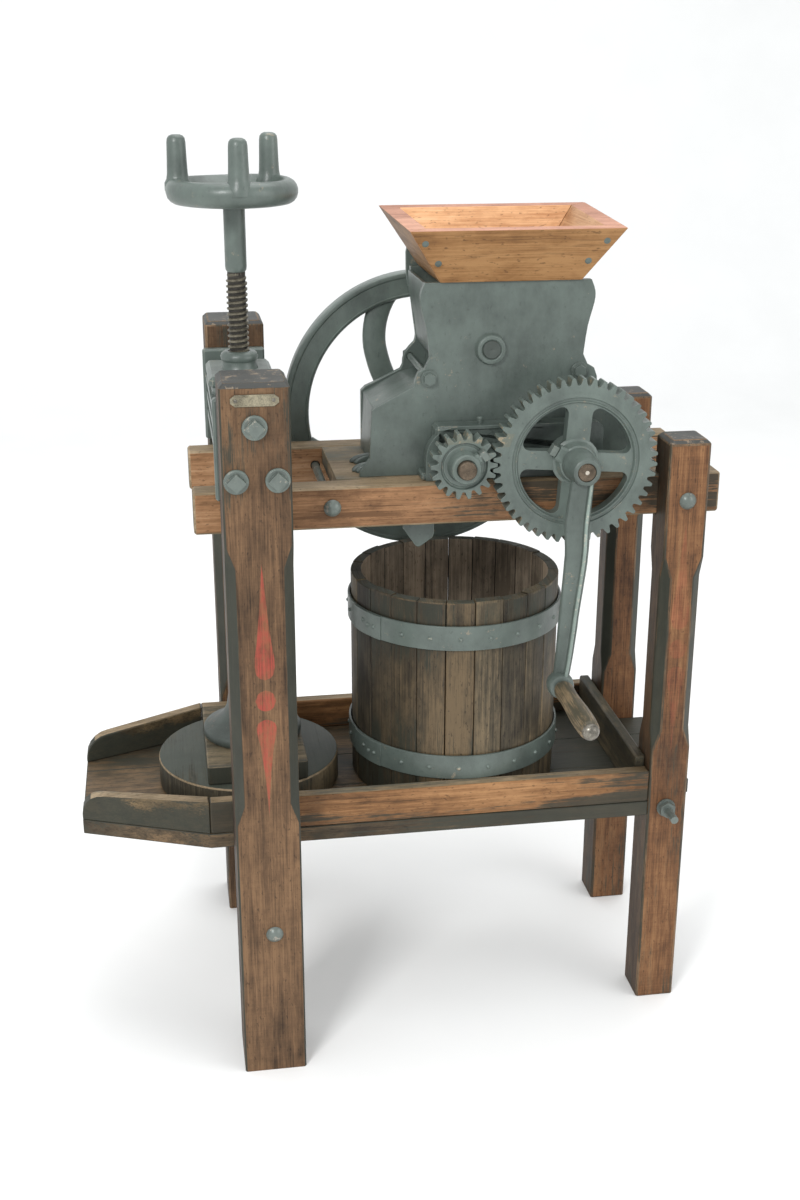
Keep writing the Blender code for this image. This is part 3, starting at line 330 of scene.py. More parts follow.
HEAD = ("Z", 0.80, 0.86, 0.07)
STAVE_LIP = ("Z", TUB_Z[1] - 0.0045, TUB_Z[1] - 0.0020, -0.30)
BOARD_ENDS = [("Z", 0.404, 0.420, 0.13), x_zone(0.14, 0.30, 0.11), x_zone(-0.30, -0.34, 0.30)]
FINISHES = [
    wood("left_front", "z", BROWN, 1, 0.16, [HEAD], motif=LEFT_MOTIF, sawn=0.03),
    wood("post", "z", BROWN, 2, 0.22, [HEAD], sawn=0.04),
    wood("post_side", "z", tint(BROWN, 0.55), 2.5, 0.45),
    # The right posts' fronts are darker towards the bottom.
    wood("right_front", "z", ORANGE, 3, 0.14, [("Z", 0.62, 0.20, 0.05)], motif=RIGHT_MOTIF, sawn=0.05),
    wood("post_dark", "z", DARK_WOOD, 4, 1.1, rough=0.50),
    wood("post_edge", "z", EDGE, 4.5, 0.66, rough=0.55),
    iron("post_top", (0.033, 0.034, 0.030), (0.20, 0.15, 0.10), 0.26, 0.55),
    wood("rail", "x", RAIL, 5, 0.12, [x_zone(-0.10, 0.05, 0.13)]),
    wood("rail_top", "x", PALE, 6, 0.2, (), 0.6, (0.10, 0.10, 0.08)),
    wood("board", "x", BOARD, 7, 0.20, [*BOARD_ENDS, ("Z", 0.362, 0.350, 0.08)]),
    wood("board_dark", "x", tint(DARK_WOOD, 1.3, 1.15, 1), 8, 0.42,
         [("Z", 0.385, 0.350, 0.16), x_zone(-0.45, -0.53, 0.12)]),
    wood("board_edge", "x", PALE, 9, 0.42, (), 0.6, (0.10, 0.095, 0.07)),
    wood("plank", "x", tint(DARK_WOOD, 1.2, 1, 0.9), 10, 0.56, [x_zone(-0.15, 0.15, 0.10)], 0.52,
         (0.032, 0.034, 0.025)),
    wood("end_board", "y", DARK_WOOD, 11, 0.72, rough=0.55),
    wood("bed", "x", PALE, 12, 0.66, (), 0.62, (0.090, 0.092, 0.072)),
    wood("stave", "z", STAVE, 13, 0.60, [("Z", 0.60, 0.52, -0.08), ("Z", 0.46, 0.40, 0.06), STAVE_LIP], 0.52,
         (0.030, 0.034, 0.025), 0.06),
    wood("stave_worn", "z", STAVE_WORN, 13.5, 0.66,
         [("Z", 0.60, 0.52, -0.06), ("Z", 0.50, 0.40, 0.05), STAVE_LIP], 0.52, (0.022, 0.025, 0.018), 0.06),
    wood("stave_in", "z", STAVE_IN, 14, rough=0.62, tone=0.05),
    wood("stave_top", "y", DARK_WOOD, 15, 0.75, (), 0.6, (0.050, 0.056, 0.043)),
    wood("disc", "y", tint(DARK_WOOD, 0.9, 1, 1), 16, 0.92, (), 0.50, (0.046, 0.054, 0.043)),
    wood("disc_edge", "z", DARK_WOOD, 17, 0.35, rough=0.6),
    wood("block", "x", tint(DARK_WOOD, 1.2), 17.5, 0.45, (), 0.6, (0.05, 0.05, 0.04)),
    wood("block_side", "z", DARK_WOOD, 17.7, 0.95, rough=0.55),
    wood("hopper_x", "x", HOPPER, 18, rough=0.50),
    wood("hopper_y", "y", HOPPER, 19, rough=0.50),
    wood("hopper_in_x", "x", HOPPER_IN, 20, rough=0.50),
    # The side boards' inner faces are a darker copy of the inner wood: painted shade.
    wood("hopper_in_y", "y", tint(HOPPER_IN, 0.66), 21, rough=0.50),
    wood("hopper_rim", "x", HOPPER_RIM, 22, rough=0.55),
    wood("grip", "y", PALE, 23, 0.66, (), 0.42, (0.042, 0.042, 0.030)),
    wood("roller", "y", DARK_WOOD, 24, rough=0.6),
    iron("iron"),
    # Paler, more chipped paint for edges and rivets: wear, and a painted highlight.
    iron("iron_worn_highlight", tint(PAINT_GREEN, 1.35), (0.34, 0.30, 0.23), 0.20, 0.32, seed=3),
    # Darker paint. On the screw's foot it is painted shade.
    iron("iron_dark", (0.047, 0.058, 0.050), (0.10, 0.085, 0.065), 0.2, 0.5, seed=5),
    iron("teeth", (0.110, 0.122, 0.096), (0.28, 0.22, 0.14), 0.36, 0.45, seed=6),
    iron("bolt", (0.128, 0.150, 0.134), (0.32, 0.29, 0.24), 0.22, 0.33, 0.2, 7),
    steel("thread", (0.150, 0.135, 0.100), 0.42, 0.60, 8),
    steel("thread_root", (0.028, 0.025, 0.020), 0.6, 0.4, 9),
    steel("shaft_end", (0.120, 0.090, 0.062), 0.40, 0.6, 10),
    steel("centre", (0.55, 0.50, 0.42), 0.25, 0.8, 10.5),
    steel("cap", (0.20, 0.185, 0.155), 0.30, 0.7, 11),
    # Much paler, more worn paint for the crank arm's rib crest: a painted highlight, and wear.
    iron("crest", tint(PAINT_GREEN, 2.3), (0.40, 0.37, 0.30), 0.30, 0.30, seed=9),
    steel("brass", (0.24, 0.215, 0.150), 0.45, 0.5, 12),
    # The flywheel's paint is the iron paint made lighter, to offset its shade: painted light.
    iron("flywheel", tint(PAINT_GREEN, 1.32), seed=12),
    # The gears' paint is the iron paint made a little lighter: painted light.
    iron("gear", tint(PAINT_GREEN, 1.14), wear=0.14, seed=13),
]
MATS = {finish.name: finish for finish in FINISHES}


# ---- shapes, in design coordinates

WELD = 1e-6


def mm(pairs, start=0.0, base=0.0):
    """Pairs in millimetres as pairs in metres, counted from (base, start)."""
    return [(base + r / 1000, start + s / 1000) for r, s in pairs]


def box(low, high):
    bm = bmesh.new()
    low, high = Vector(low), Vector(high)
    bmesh.ops.create_cube(bm, size=1, matrix=Matrix.LocRotScale((low + high) / 2, None, high - low))
    return bm


def rod(start, end, radius, segments):
    start, end = Vector(start), Vector(end)
    along = end - start
    where = Matrix.LocRotScale((start + end) / 2, along.to_track_quat("Z", "Y"), None)
    bm = bmesh.new()
    ends = {"radius1": radius, "radius2": radius, "depth": along.length}
    bmesh.ops.create_cone(bm, cap_ends=True, segments=segments, matrix=where, **ends)
    return bm


def turned(profile, origin, along, segments):
    """A solid of revolution from (radius, station) pairs. A profile that ends off the axis is closed."""
    bm = bmesh.new()
    verts = [bm.verts.new((r, 0, s)) for r, s in profile]
    edges = [bm.edges.new(pair) for pair in zip(verts, verts[1:])]
    if profile[0][0] and profile[-1][0]:
        edges.append(bm.edges.new((verts[-1], verts[0])))
    sweep = {"cent": (0, 0, 0), "axis": UP, "angle": math.tau, "steps": segments, "use_merge": True}
    bmesh.ops.spin(bm, geom=verts + edges, **sweep)
    bmesh.ops.remove_doubles(bm, verts=bm.verts, dist=WELD)
    bmesh.ops.recalc_face_normals(bm, faces=bm.faces)
    bm.transform(Matrix.LocRotScale(Vector(origin), Vector(along).to_track_quat("Z", "Y"), None))
    return bm


def linked(name, data):
    obj = bpy.data.objects.new(name, data)
    bpy.context.scene.collection.objects.link(obj)
    return obj


def plate(outlines, y0, y1):
    """A flat outline in X and Z, with its holes, from y0 to y1."""
    curve = bpy.data.curves.new("outline", "CURVE")
    curve.dimensions = "2D"
    curve.fill_mode = "BOTH"
    curve.extrude = (y1 - y0) / 2
    for points in outlines:
        spline = curve.splines.new("POLY")
        spline.points.add(len(points) - 1)
        for point, (x, z) in zip(spline.points, points):
            point.co = (x, z, 0, 1)
        spline.use_cyclic_u = True
    holder = linked("outline", curve)
    mesh = bpy.data.meshes.new_from_object(holder.evaluated_get(bpy.context.evaluated_depsgraph_get()))
    bm = bmesh.new()
    bm.from_mesh(mesh)
    bpy.data.objects.remove(holder)
    bpy.data.meshes.remove(mesh)
    bpy.data.curves.remove(curve)
    bmesh.ops.remove_doubles(bm, verts=bm.verts, dist=WELD)
    bmesh.ops.dissolve_limit(bm, angle_limit=0.01, verts=bm.verts, edges=bm.edges)
    bm.transform(Matrix.Translation((0, (y0 + y1) / 2, 0)) @ Matrix.Rotation(math.pi / 2, 4, "X"))
    return bm


def skin(bm, rows):
    """Faces between neighbouring rows of vertices."""
    return [bm.faces.new(corners) for row, after in zip(rows, rows[1:])
            for corners in zip(row, row[1:], after[1:], after)]


def loft(rings):
    """A closed shape through rings of points."""
    bm = bmesh.new()
    loops = [[bm.verts.new(p) for p in ring] for ring in rings]
    skin(bm, [loop + loop[:1] for loop in loops])
    bm.faces.new(loops[0][::-1])
    bm.faces.new(loops[-1])
    bmesh.ops.recalc_face_normals(bm, faces=bm.faces)
    return bm


def merged(*shapes):
    """One mesh of several closed shapes that overlap."""
    total = bmesh.new()
    for bm in shapes:
        mesh = bpy.data.meshes.new("part")
        bm.to_mesh(mesh)
        bm.free()
        total.from_mesh(mesh)
        bpy.data.meshes.remove(mesh)
    return total


def polar(radius, degrees, centre=(0, 0)):
    angle = math.radians(degrees)
    return (centre[0] + radius * math.cos(angle), centre[1] + radius * math.sin(angle))


def circle(centre, radius, segments):
    return [polar(radius, 360 * i / segments, centre) for i in range(segments)]


def smooth_line(points, steps):
    """A Catmull-Rom line through the points."""
    padded = [points[0], *points, points[-1]]
    line = []
    for a, b, c, d in zip(padded, padded[1:], padded[2:], padded[3:]):
        for k in range(steps):
            t = k / steps
            line.append([
                q + 0.5 * t * (r - p + (2 * p - 5 * q + 4 * r - s) * t + (3 * q - p - 3 * r + s) * t * t)
                for p, q, r, s in zip(a, b, c, d)
            ])
    return line + [points[-1]]


def stations(path):
    """For each point of a path in X and Z: its share of the path's steps, itself and the way across."""
    for k, point in enumerate(path):
        before, after = path[max(k - 1, 0)], path[min(k + 1, len(path) - 1)]
        along = Vector((after[0] - before[0], after[1] - before[1])).normalized()
        yield k / (len(path) - 1), point, Vector((-along.y, along.x))


def painted(bm, index, chosen=None):
    """Gives the faces, or the chosen ones, a material index."""
    for face in bm.faces:
        if chosen is None or chosen(face):
            face.material_index = index
    return bm


# ---- pieces

# Edges that turn by more than this many degrees are rounded.
BEVEL_FROM = 32


def shown(name, bm, mats):
    """An object in the scene that has the shape and the materials."""
    mesh = bpy.data.meshes.new(name)
    bm.to_mesh(mesh)
    bm.free()
    # A CAD mesh brings its own normals, which would hold after its shape changes.
    if "custom_normal" in mesh.attributes:
        mesh.attributes.remove(mesh.attributes["custom_normal"])
    for material in mats:
        mesh.materials.append(material)
    mesh.shade_smooth()
    return linked(name, mesh)


def piece(node, bm, mats, bevel=0.0, segments=2, edge_slot=-1, smooth=40, shifted=True):
    """A shown piece that stands for a CAD node and rides on its body."""
    if shifted:
        bmesh.ops.translate(bm, verts=bm.verts, vec=SHIFT)
    obj = shown(f"{node}_look", bm, [MATS[name] for name in mats])
    obj.data.set_sharp_from_angle(angle=math.radians(smooth))
    if bevel:
        edges = obj.modifiers.new("edges", "BEVEL")
        edges.width, edges.segments, edges.material = bevel, segments, edge_slot
        edges.limit_method = "ANGLE"
        edges.angle_limit = math.radians(BEVEL_FROM)
        edges.use_clamp_overlap = True
        normals = obj.modifiers.new("normals", "WEIGHTED_NORMAL")
        normals.keep_sharp = True
        normals.weight = 60
    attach(obj, BODY_OF[node])
    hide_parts(node)
    return obj


def refine(node, mats, bevel, segments=2, edge_slot=-1, slots=None, extra=(), change=None):
    """The CAD node with rounded edges. Slots gives a face's material, and extra shapes join the mesh."""
    bm = bmesh.new()
    bm.from_mesh(frame["nodes"][node].data)
    bmesh.ops.remove_doubles(bm, verts=bm.verts, dist=2 * WELD)
    bmesh.ops.dissolve_limit(bm, angle_limit=math.radians(0.5), verts=bm.verts, edges=bm.edges)
    if change:
        change(bm)
    for face in bm.faces:
        face.material_index = slots(face) if slots else 0
    for shape in extra:
        bmesh.ops.translate(shape, verts=shape.verts, vec=SHIFT)
    piece(node, merged(bm, *extra), mats, bevel, segments, edge_slot, shifted=False)


def cast(node, bevel, segments=3, edge_slot=1, **more):
    """A cast part of the CAD, with paint that is paler and more worn on its edges: wear, and a painted
    highlight.
    """
    refine(node, ["iron", "iron_worn_highlight"], bevel, segments, edge_slot, **more)


def facing(face):
    """The axis and sign that the face mostly looks along, or None for a slanted face."""
    for i, axis in enumerate("xyz"):
        if abs(face.normal[i]) > 0.92:
            return ("+" if face.normal[i] > 0 else "-") + axis
    return None


# ---- wooden frame

# Slanted faces above this height belong to a post's bevelled top.
HEAD_Z = 0.86


def post_slots(face):
    """0 for the front and rear, 1 for the sides, 2 for the painted chamfers and 3 for the top."""
    look = facing(face)
    if look is None:
        return 3 if face.normal.z > 0.3 and face.calc_center_median().z > HEAD_Z else 2
    return {"-y": 0, "+y": 0, "-x": 1, "+x": 1, "+z": 3, "-z": 1}[look]


def posts():
    fronts = {"left_front": "left_front", "left_rear": "post", "right_front": "right_front"}
    for corner, front in (fronts | {"right_rear": "right_front"}).items():
        mats = [front, "post_side", "post_dark", "post_top", "post_edge"]
        refine(f"{corner}_post", mats, 0.0016, 2, 4, post_slots)


def rail_slots(face):
    look = facing(face)
    return {"+z": 1, "-z": 2, "+x": 2, "-x": 2}.get(look, 0 if look else 1)


def rails_and_bed():
    for end in ("front", "rear"):
        refine(f"{end}_rail", ["rail", "rail_top", "post_dark"], 0.0010, slots=rail_slots)
    refine("mill_bed_board", ["bed", "board_edge"], 0.0015, 2, 1)


def board_slots(face):
    return 1 if face.normal.z > 0.8 else 0


def tray():
    plank = (["plank", "board_dark"], 0.0012, 2, 1)
    for end in ("front", "rear"):
        refine(f"tray_{end}_board", ["board", "board_edge"], 0.0008, slots=board_slots)
        refine(f"spout_{end}_board", ["board_dark", "board_edge"], 0.0022, 3, 0, board_slots)
        refine(f"tray_{end}_plank", *plank)
    refine("tray_middle_plank", *plank)
    refine("tray_end_board", ["end_board"], 0.0015)


# ---- tub and follower

STAVES = 23
STAVE_ANGLE = 360 / STAVES
STAVE_PHASE = 4.4
TUB_R = half_span("tub_staves", Y)
TUB_WALL = 0.016
# How far a stave stands back from each of its joints where they have opened, by stave.
OPEN_JOINTS = {16: 0.0009, 4: 0.0004}
WORN_STAVES = (13, 14, 15, 16)
# How far a hoop's lap stands out, and the angle where it ends.
LAP = 0.0017
LAP_AT = 218.2


def staves():
    tones = []
    shapes = []
    for i in range(STAVES):
        gap = OPEN_JOINTS.get(i, 0.00022 + RNG.random() * 0.00035)
        joint = math.degrees(gap / TUB_R)
        outer = TUB_R - RNG.random() * 0.0010
        top = TUB_Z[1] - RNG.random() * 0.0022
        start, turn = STAVE_PHASE + i * STAVE_ANGLE + joint, STAVE_ANGLE - 2 * joint
        angles = [start + turn * k / 4 for k in range(5)]
        ring = [polar(outer, a, (TUB_X, 0)) for a in angles]
        ring += [polar(TUB_R - TUB_WALL, a, (TUB_X, 0)) for a in reversed(angles)]
        levels = (TUB_Z[0], TUB_Z[0] + 0.11, TUB_Z[0] + 0.22, top)
        bm = loft([[(x, y, z) for x, y in ring] for z in levels])
        tones += [RNG.uniform(-1, 1)] * len(bm.faces)
        outside = 3 if i in WORN_STAVES else 0
        for face in bm.faces:
            centre = face.calc_center_median()
            outward = face.normal.dot(Vector((centre.x - TUB_X, centre.y, 0)).normalized())
            face.material_index = 2 if abs(face.normal.z) > 0.5 else outside if outward > -0.5 else 1
        shapes.append(bm)
    obj = piece("tub_staves", merged(*shapes), ["stave", "stave_in", "stave_top", "stave_worn"], 0.0011)
    attribute = obj.data.attributes.new("tone", "FLOAT", "FACE")
    attribute.data.foreach_set("value", tones)


def hoop(node):
    """A hoop with its lap joint, and a rivet on each stave and in the lap."""
    z0, z1 = span(node, Z)
    outer = half_span(node, Y)
    band = mm([(-3.4, 0), (-0.6, 0), (0, 0.8)], z0, outer) + mm([(0, -0.8), (-0.6, 0), (-3.4, 0)], z1, outer)
    out = LAP * 1000
    corners = mm([(-1, 0.2), (out, 0.4)], z0, outer) + mm([(out, -0.4), (-1, -0.2)], z1, outer)
    rings = [[(*polar(r, LAP_AT + a, (TUB_X, 0)), z) for r, z in corners] for a in range(-24, 1, 2)]
    shapes = [turned(band, ON_TUB, UP, 138), loft(rings)]
    rivets = [(LAP_AT - 14, -0.003, LAP), (LAP_AT - 9.5, 0.001, LAP), (LAP_AT - 5, 0.0005, LAP)]
    on_staves = [STAVE_PHASE + (i + 0.5) * STAVE_ANGLE for i in range(STAVES)]
    rivets += [(a, 0.001, 0) for a in on_staves if not LAP_AT - 22 < a < LAP_AT + 2]
    head = mm([(0, 2.6), (1.3, 2.4), (2.4, 1.6), (3.1, 0.4), (3.3, -0.6), (0, -0.6)])
    for a, below, out in rivets:
        centre = (*polar(outer + out, a, (TUB_X, 0)), (z0 + z1) / 2 - below)
        # The rivets take the paler worn paint: a painted highlight, and wear.
        shapes.append(painted(turned(head, centre, (*polar(1, a), 0), 12), 1))
    piece(node, merged(*shapes), ["iron", "iron_worn_highlight"], 0.0004, 1, smooth=50)


def tub():
    staves()
    hoop("tub_lower_hoop")
    hoop("tub_upper_hoop")


def follower():
    radius = half_span("follower_disc", Y)
    z0, z1 = span("follower_disc", Z)
    profile = [(0, z1), *mm([(-4, 0), (-1.2, -1), (0, -3.5)], z1, radius)]
    profile += [*mm([(0, 3), (-2, 0)], z0, radius), (0, z0)]
    bm = turned(profile, (place("follower_disc").x, 0, 0), UP, 112)
    painted(bm, 1, lambda face: face.normal.z < 0.8)
    painted(bm, 2, lambda face: 0.2 < face.normal.z < 0.9)
    piece("follower_disc", bm, ["disc", "disc_edge", "board_edge"])
    block = ["block", "block_side"]
    refine("follower_cross_block", block, 0.0020, 3, slots=lambda face: 0 if face.normal.z > 0.5 else 1)


# ---- screw press

THREAD_Z = (0.490, 1.097)
PITCH = 0.0075
THREAD_STEPS = 22
ROOT_R, SHANK_R = 0.0121, 0.0147
WHEEL_Z = 1.208
RIM_R, RIM_SECTION_R = 0.0741, 0.0160
PINS = (-87, 45, 168)
# How much lower the yoke's collar is than the CAD's.
COLLAR_CUT = 0.004


def screw_foot():
    z0, z1 = span("screw_foot", Z)
    line = mm([(15.5, 0), (24.5, 0), (29.5, -2), (32.5, -6), (34.5, -20), (37, -36), (42.5, -50), (53, -60),
               (66, -66.5), (71.5, -68.5), (72.8, -71)], z1)
    line += mm([(72.8, 1.5), (71, 0), (15.5, 0)], z0)
    # The foot's dark paint is painted shade.
    piece("screw_foot", turned(line, ON_SCREW, UP, 64), ["iron_dark"], smooth=60)


def screw():
    """A square-ish thread below and a smooth shank above."""
    start, end = THREAD_Z
    count = int((end - start) / PITCH * THREAD_STEPS)
    crest = ((0.26, SHANK_R - 0.0003), (0.56, SHANK_R - 0.0001))
    profile = ((0.00, ROOT_R), (0.12, ROOT_R), *crest, (0.70, ROOT_R))
    bm = bmesh.new()
    rows = []
    for k in range(count + 1):
        turns = k / THREAD_STEPS
        fade = min(1, turns, (count - k) / (THREAD_STEPS * 1.5))
        row = []
        for share, radius in profile:
            x, y = polar(ROOT_R + (radius - ROOT_R) * fade, 360 * turns, (SCREW_X, 0))
            row.append(bm.verts.new((x, y, start + PITCH * (turns + share))))
        rows.append(row)
    for i, face in enumerate(skin(bm, rows[::-1])):
        face.material_index = 0 if i % (len(profile) - 1) else 1
    z0, z1 = span("press_screw", Z)
    neck = [(0, z1), (SHANK_R, z1), *mm([(0, 12), (-0.6, 7)], end, SHANK_R)]
    neck += [(ROOT_R, end + 0.0045), (0, end + 0.0045)]
    shapes = [bm, painted(rod((SCREW_X, 0, z0), (SCREW_X, 0, end + 0.006), ROOT_R + 0.00015, 32), 1)]
    shapes.append(painted(turned(neck, ON_SCREW, UP, 40), 2))
    shapes.append(painted(rod((SCREW_X, 0, z0), (SCREW_X, 0, start + 0.004), SHANK_R - 0.0006, 32), 1))
    piece("press_screw", merged(*shapes), ["thread", "thread_root", "iron"], smooth=35)


def handwheel():
    """A ring with three low lobes, a dished web and three upright pins that flow into it."""
    segments = 96
    profile = mm([(0, 5.5), (20, 5), (27, 2), (50, 0), (58, 3)])
    profile += [polar(RIM_SECTION_R, a, (RIM_R, 0)) for a in (115, 92, *range(70, -100, -20))]
    profile += [(RIM_R - 0.010, -0.0130), *mm([(52, -10.5), (30, -12), (24, -15.5), (0, -15.8)])]
    bm = bmesh.new()
    rows = []
    for k in range(segments):
        a = 360 * k / segments
        near = min(abs((a - pin + 180) % 360 - 180) for pin in PINS)
        # Between the pins the ring is 3.5 mm narrower and 2.5 mm lower.
        lobe = 0.5 + 0.5 * math.cos(math.radians(min(180, near * 3)))
        row = []
        for r, z in profile:
            share = max(0.0, (r - 0.055) / 0.035)
            x, y = polar(r - 0.0035 * (1 - lobe) * share, a, (SCREW_X, 0))
            lift = (0.0025 * lobe if z > -0.004 else 0.0) * share
            row.append(bm.verts.new((x, y, WHEEL_Z + z + lift - 0.0006)))
        rows.append(row)
    skin(bm, rows + rows[:1])
    bmesh.ops.remove_doubles(bm, verts=bm.verts, dist=WELD)
    bmesh.ops.recalc_face_normals(bm, faces=bm.faces)
    top = span("handwheel", Z)[1]
    pin = mm([(0, 0), (6, -0.4), (9.5, -2), (11.8, -5), (12.6, -10), (13.3, -35)], top)
    pin += mm([(13.9, 22), (15, 15), (17.8, 10), (17.8, 0), (0, 0)], WHEEL_Z)
    shapes = [turned(pin, (*polar(RIM_R, a, (SCREW_X, 0)), 0), UP, 32) for a in PINS]
    piece("handwheel", merged(bm, *shapes), ["iron"], smooth=70)


def yoke():
    """The collar is a round bead on a short neck, where the CAD has a plain one."""
    cad_top = span("screw_yoke", Z)[1]
    bore = (SHANK_R + 0.0003) * 1000
    collar = mm([(bore, 1), (17.5, 1.2), (21.5, 0.2), (24.5, -2.5), (26, -6.5), (25.2, -10.5), (23.5, -13),
                 (24, -19), (26.2, -23.5), (30.5, -26), (bore, -26)], cad_top - COLLAR_CUT)
    axis = SHIFT + Vector(ON_SCREW)
    cad_collar, slim = (0.0285, 0.0305), 0.0228

    def narrower(bm):
        for vert in bm.verts:
            out = (vert.co - axis).xy
            if cad_collar[0] < out.length < cad_collar[1] and vert.co.z > cad_top - 0.045:
                vert.co.xy = axis.xy + out * (slim / out.length)
            if vert.co.z > cad_top - 0.001:
                vert.co.z -= COLLAR_CUT

    cast("screw_yoke", 0.0028, extra=[turned(collar, ON_SCREW, UP, 48)], change=narrower)


def bolts():
    """The yoke's bolts get a washer under the head, and the tie rods and rail bolts a domed head."""
    washer = mm([(10, 4), (14.2, 3.8), (15.8, 2.4), (16, 0), (10, 0)])
    dome = mm([(0, 0.3), (4, -0.4), (7.5, -2.1), (10.4, -4.7), (11.9, -6.8), (12.1, -7.5), (0, -7.5)])
    rows = [(f"yoke_{end}_bolt_{k}", side, washer, 0.013, (0.0016, 3, 1))
            for end, side in (("front", -1), ("rear", 1)) for k in (1, 2, 3)]
    domed = {"rail_tie_rod": -1, "left_tie_rod": -1, "tray_tie_rod": 1}
    domed |= {"front_rail_bolt": -1, "rear_rail_bolt": 1}
    rows += [(node, side, dome, 0, (0.0010, 2, -1)) for node, side in domed.items()]
    for node, side, profile, back, bevel in rows:
        at = place(node)
        face = span(node, Y)[0 if side < 0 else 1] - side * back
        head = turned(profile, (at.x, face, at.z), (0, side, 0), 40)
        # The yoke bolts' edges take the paler worn paint: a painted highlight, and wear.
        refine(node, ["bolt", "iron_worn_highlight"], *bevel, extra=[head])


# ---- apple mill

BED_Z = span("mill_bed_board", Z)[1]
BRACKET_TOP = 0.904
# The hopper's foot: its ends in x, and half its depth.
HOPPER_FOOT = (-0.0215, 0.1735, 0.090)


def casing():
    feed = place("feed_roller_axle")
    ring = mm([(12.9, 7.5), (14.8, 8.8), (18, 8.4), (19.8, 6.2), (20.8, 2), (22.5, -1), (12.9, -1)])
    front = span("mill_front_plate", Y)[0] + 0.008
    cast("mill_front_plate", 0.0026, extra=[turned(ring, (feed.x, front, feed.z), FRONT, 48)])
    cast("mill_rear_plate", 0.0024, extra=hopper_stay())
    cast("mill_left_cover", 0.0012, 2, -1, extra=claw())
    cast("mill_right_cover", 0.0012, 2, -1)
    for where in ("left", "right"):
        cast(f"casing_{where}_bolt", 0.0014, 2, -1)


def claw():
    """Two ribbed cast lugs on the bed, at the casing's left end."""
    shapes = []
    for y, x, reach in ((-0.052, -0.112, 0.0260), (-0.003, -0.105, 0.0300)):
        for turn, high in ((-24, 0.010), (0, 0.013), (24, 0.010)):
            c, n = polar(1, turn)
            rings = []
            for s in (0, 0.2, 0.4, 0.6, 0.8, 1):
                out = reach * s * (0.88 if turn else 1.0)
                half = 0.0062 - 0.0022 * s
                top = high * (1 - 0.55 * s * s) * (1.0 if s < 1 else 0.6)
                ring = []
                for a in range(0, 181, 30):
                    w, z = half * polar(1, a)[0], top * polar(1, a)[1]
                    ring.append((x - out * c - w * n, y - out * n + w * c, BED_Z + 0.0004 + z))
                rings.append(ring)
            shapes.append(loft(rings))
    return shapes


def hopper_stay():
    """A cast lug that rises from the rear plate behind the hopper's left corner."""
    outline = mm([(-33, 60), (-36.2, 80), (-36.6, 109), (-35, 118.5), (-29.5, 122.5), (-23, 120), (-15, 90),
                  (-15, 60)], 1.0)
    return [plate([outline], 0.1035, 0.1100), box((-0.0330, 0.080, 1.062), (-0.0150, 0.108, 1.084))]


def bracket_outline():
    """The bearing bracket's front: round about the drum shaft and with a rounded right corner."""
    x1 = span("front_bearing_bracket", X)[1]
    z0, z1 = span("front_bearing_bracket", Z)[0], BRACKET_TOP
    radius = z1 - SHAFT_Z
    left = [polar(radius, a, (0, SHAFT_Z)) for a in range(90, 181, 10)]
    right = [polar(0.012, a, (x1 - 0.012, z1 - 0.012)) for a in range(0, 91, 15)]
    return left + [(-radius, z0), (x1, z0)] + right


def brackets():
    """The front one has two oil cups on its top and a ring round each shaft."""
    cup = mm([(0, 9.5), (3, 9.2), (4.2, 8), (4.2, 4.5), (3.4, 4), (3.4, -2), (0, -2)])
    shapes = [turned(cup, (x, -0.104, BRACKET_TOP), UP, 24) for x in (0.033, 0.116)]
    front = span("front_bearing_bracket", Y)[0]
    ring = mm([(12.9, 0.5), (21.5, 0.5), (23.8, -1.5), (24.8, -6), (27.5, -12), (12.9, -12)])
    shapes += [turned(ring, (x, front, SHAFT_Z), FRONT, 48) for x in (0, GEAR_X)]
    shapes.append(plate([bracket_outline()], front + 0.012, front + 0.030))
    cast("front_bearing_bracket", 0.0035, extra=shapes)
    cast("rear_bearing_bracket", 0.0035)


def mill_inside():
    refine("cutter_drum", ["roller"], 0.0010)
    refine("feed_roller", ["roller"], 0.0015)
    cast("chute_tongue", 0.0012, 2)


def shafts():
    """The crank shaft's front end is flush with the hub that it turns in, and has a centre mark."""
    crank_front = span("crank_arm", Y)[0] + 0.0006
    mats_of = {"drum_shaft": ["shaft_end"], "crank_shaft": ["shaft_end", "centre"]}
    for node, mats in (mats_of | {"feed_roller_axle": ["iron_dark"]}).items():
        at, radius = place(node), half_span(node, Z)
        y0, y1 = span(node, Y)
        marked = "centre" in mats
        if marked:
            y0 = crank_front
        line = mm([(0, 1.2), (1.6, 0.4), (2.8, 0)], y0) + mm([(-1.2, 0), (0, 1.2)], y0, radius)
        line += [*mm([(0, -1.2), (-1.2, 0)], y1, radius), (0, y1)]
        bm = turned(line, (at.x, 0, at.z), BACK, 48)
        if marked:
            tip = Vector((at.x, y0, at.z))
            painted(bm, 1, lambda face: (face.calc_center_median() - tip).length < 0.0025)
        piece(node, bm, mats)


def hopper_slots(face):
    if face.normal.z > 0.95:
        return 2
    return 1 if face.normal.z > 0 else 0


def hopper():
    """Four boards, with round plugs over the screws near the corners."""
    for where, axis in (("front", "x"), ("rear", "x"), ("left", "y"), ("right", "y")):
        # The side boards' inner faces take the darker copy of the inner wood: painted shade.
        mats = [f"hopper_{axis}", f"hopper_in_{axis}", "hopper_rim", "iron"]
        refine(f"hopper_{where}_board", mats, 0.0010, slots=hopper_slots, extra=plugs(where))


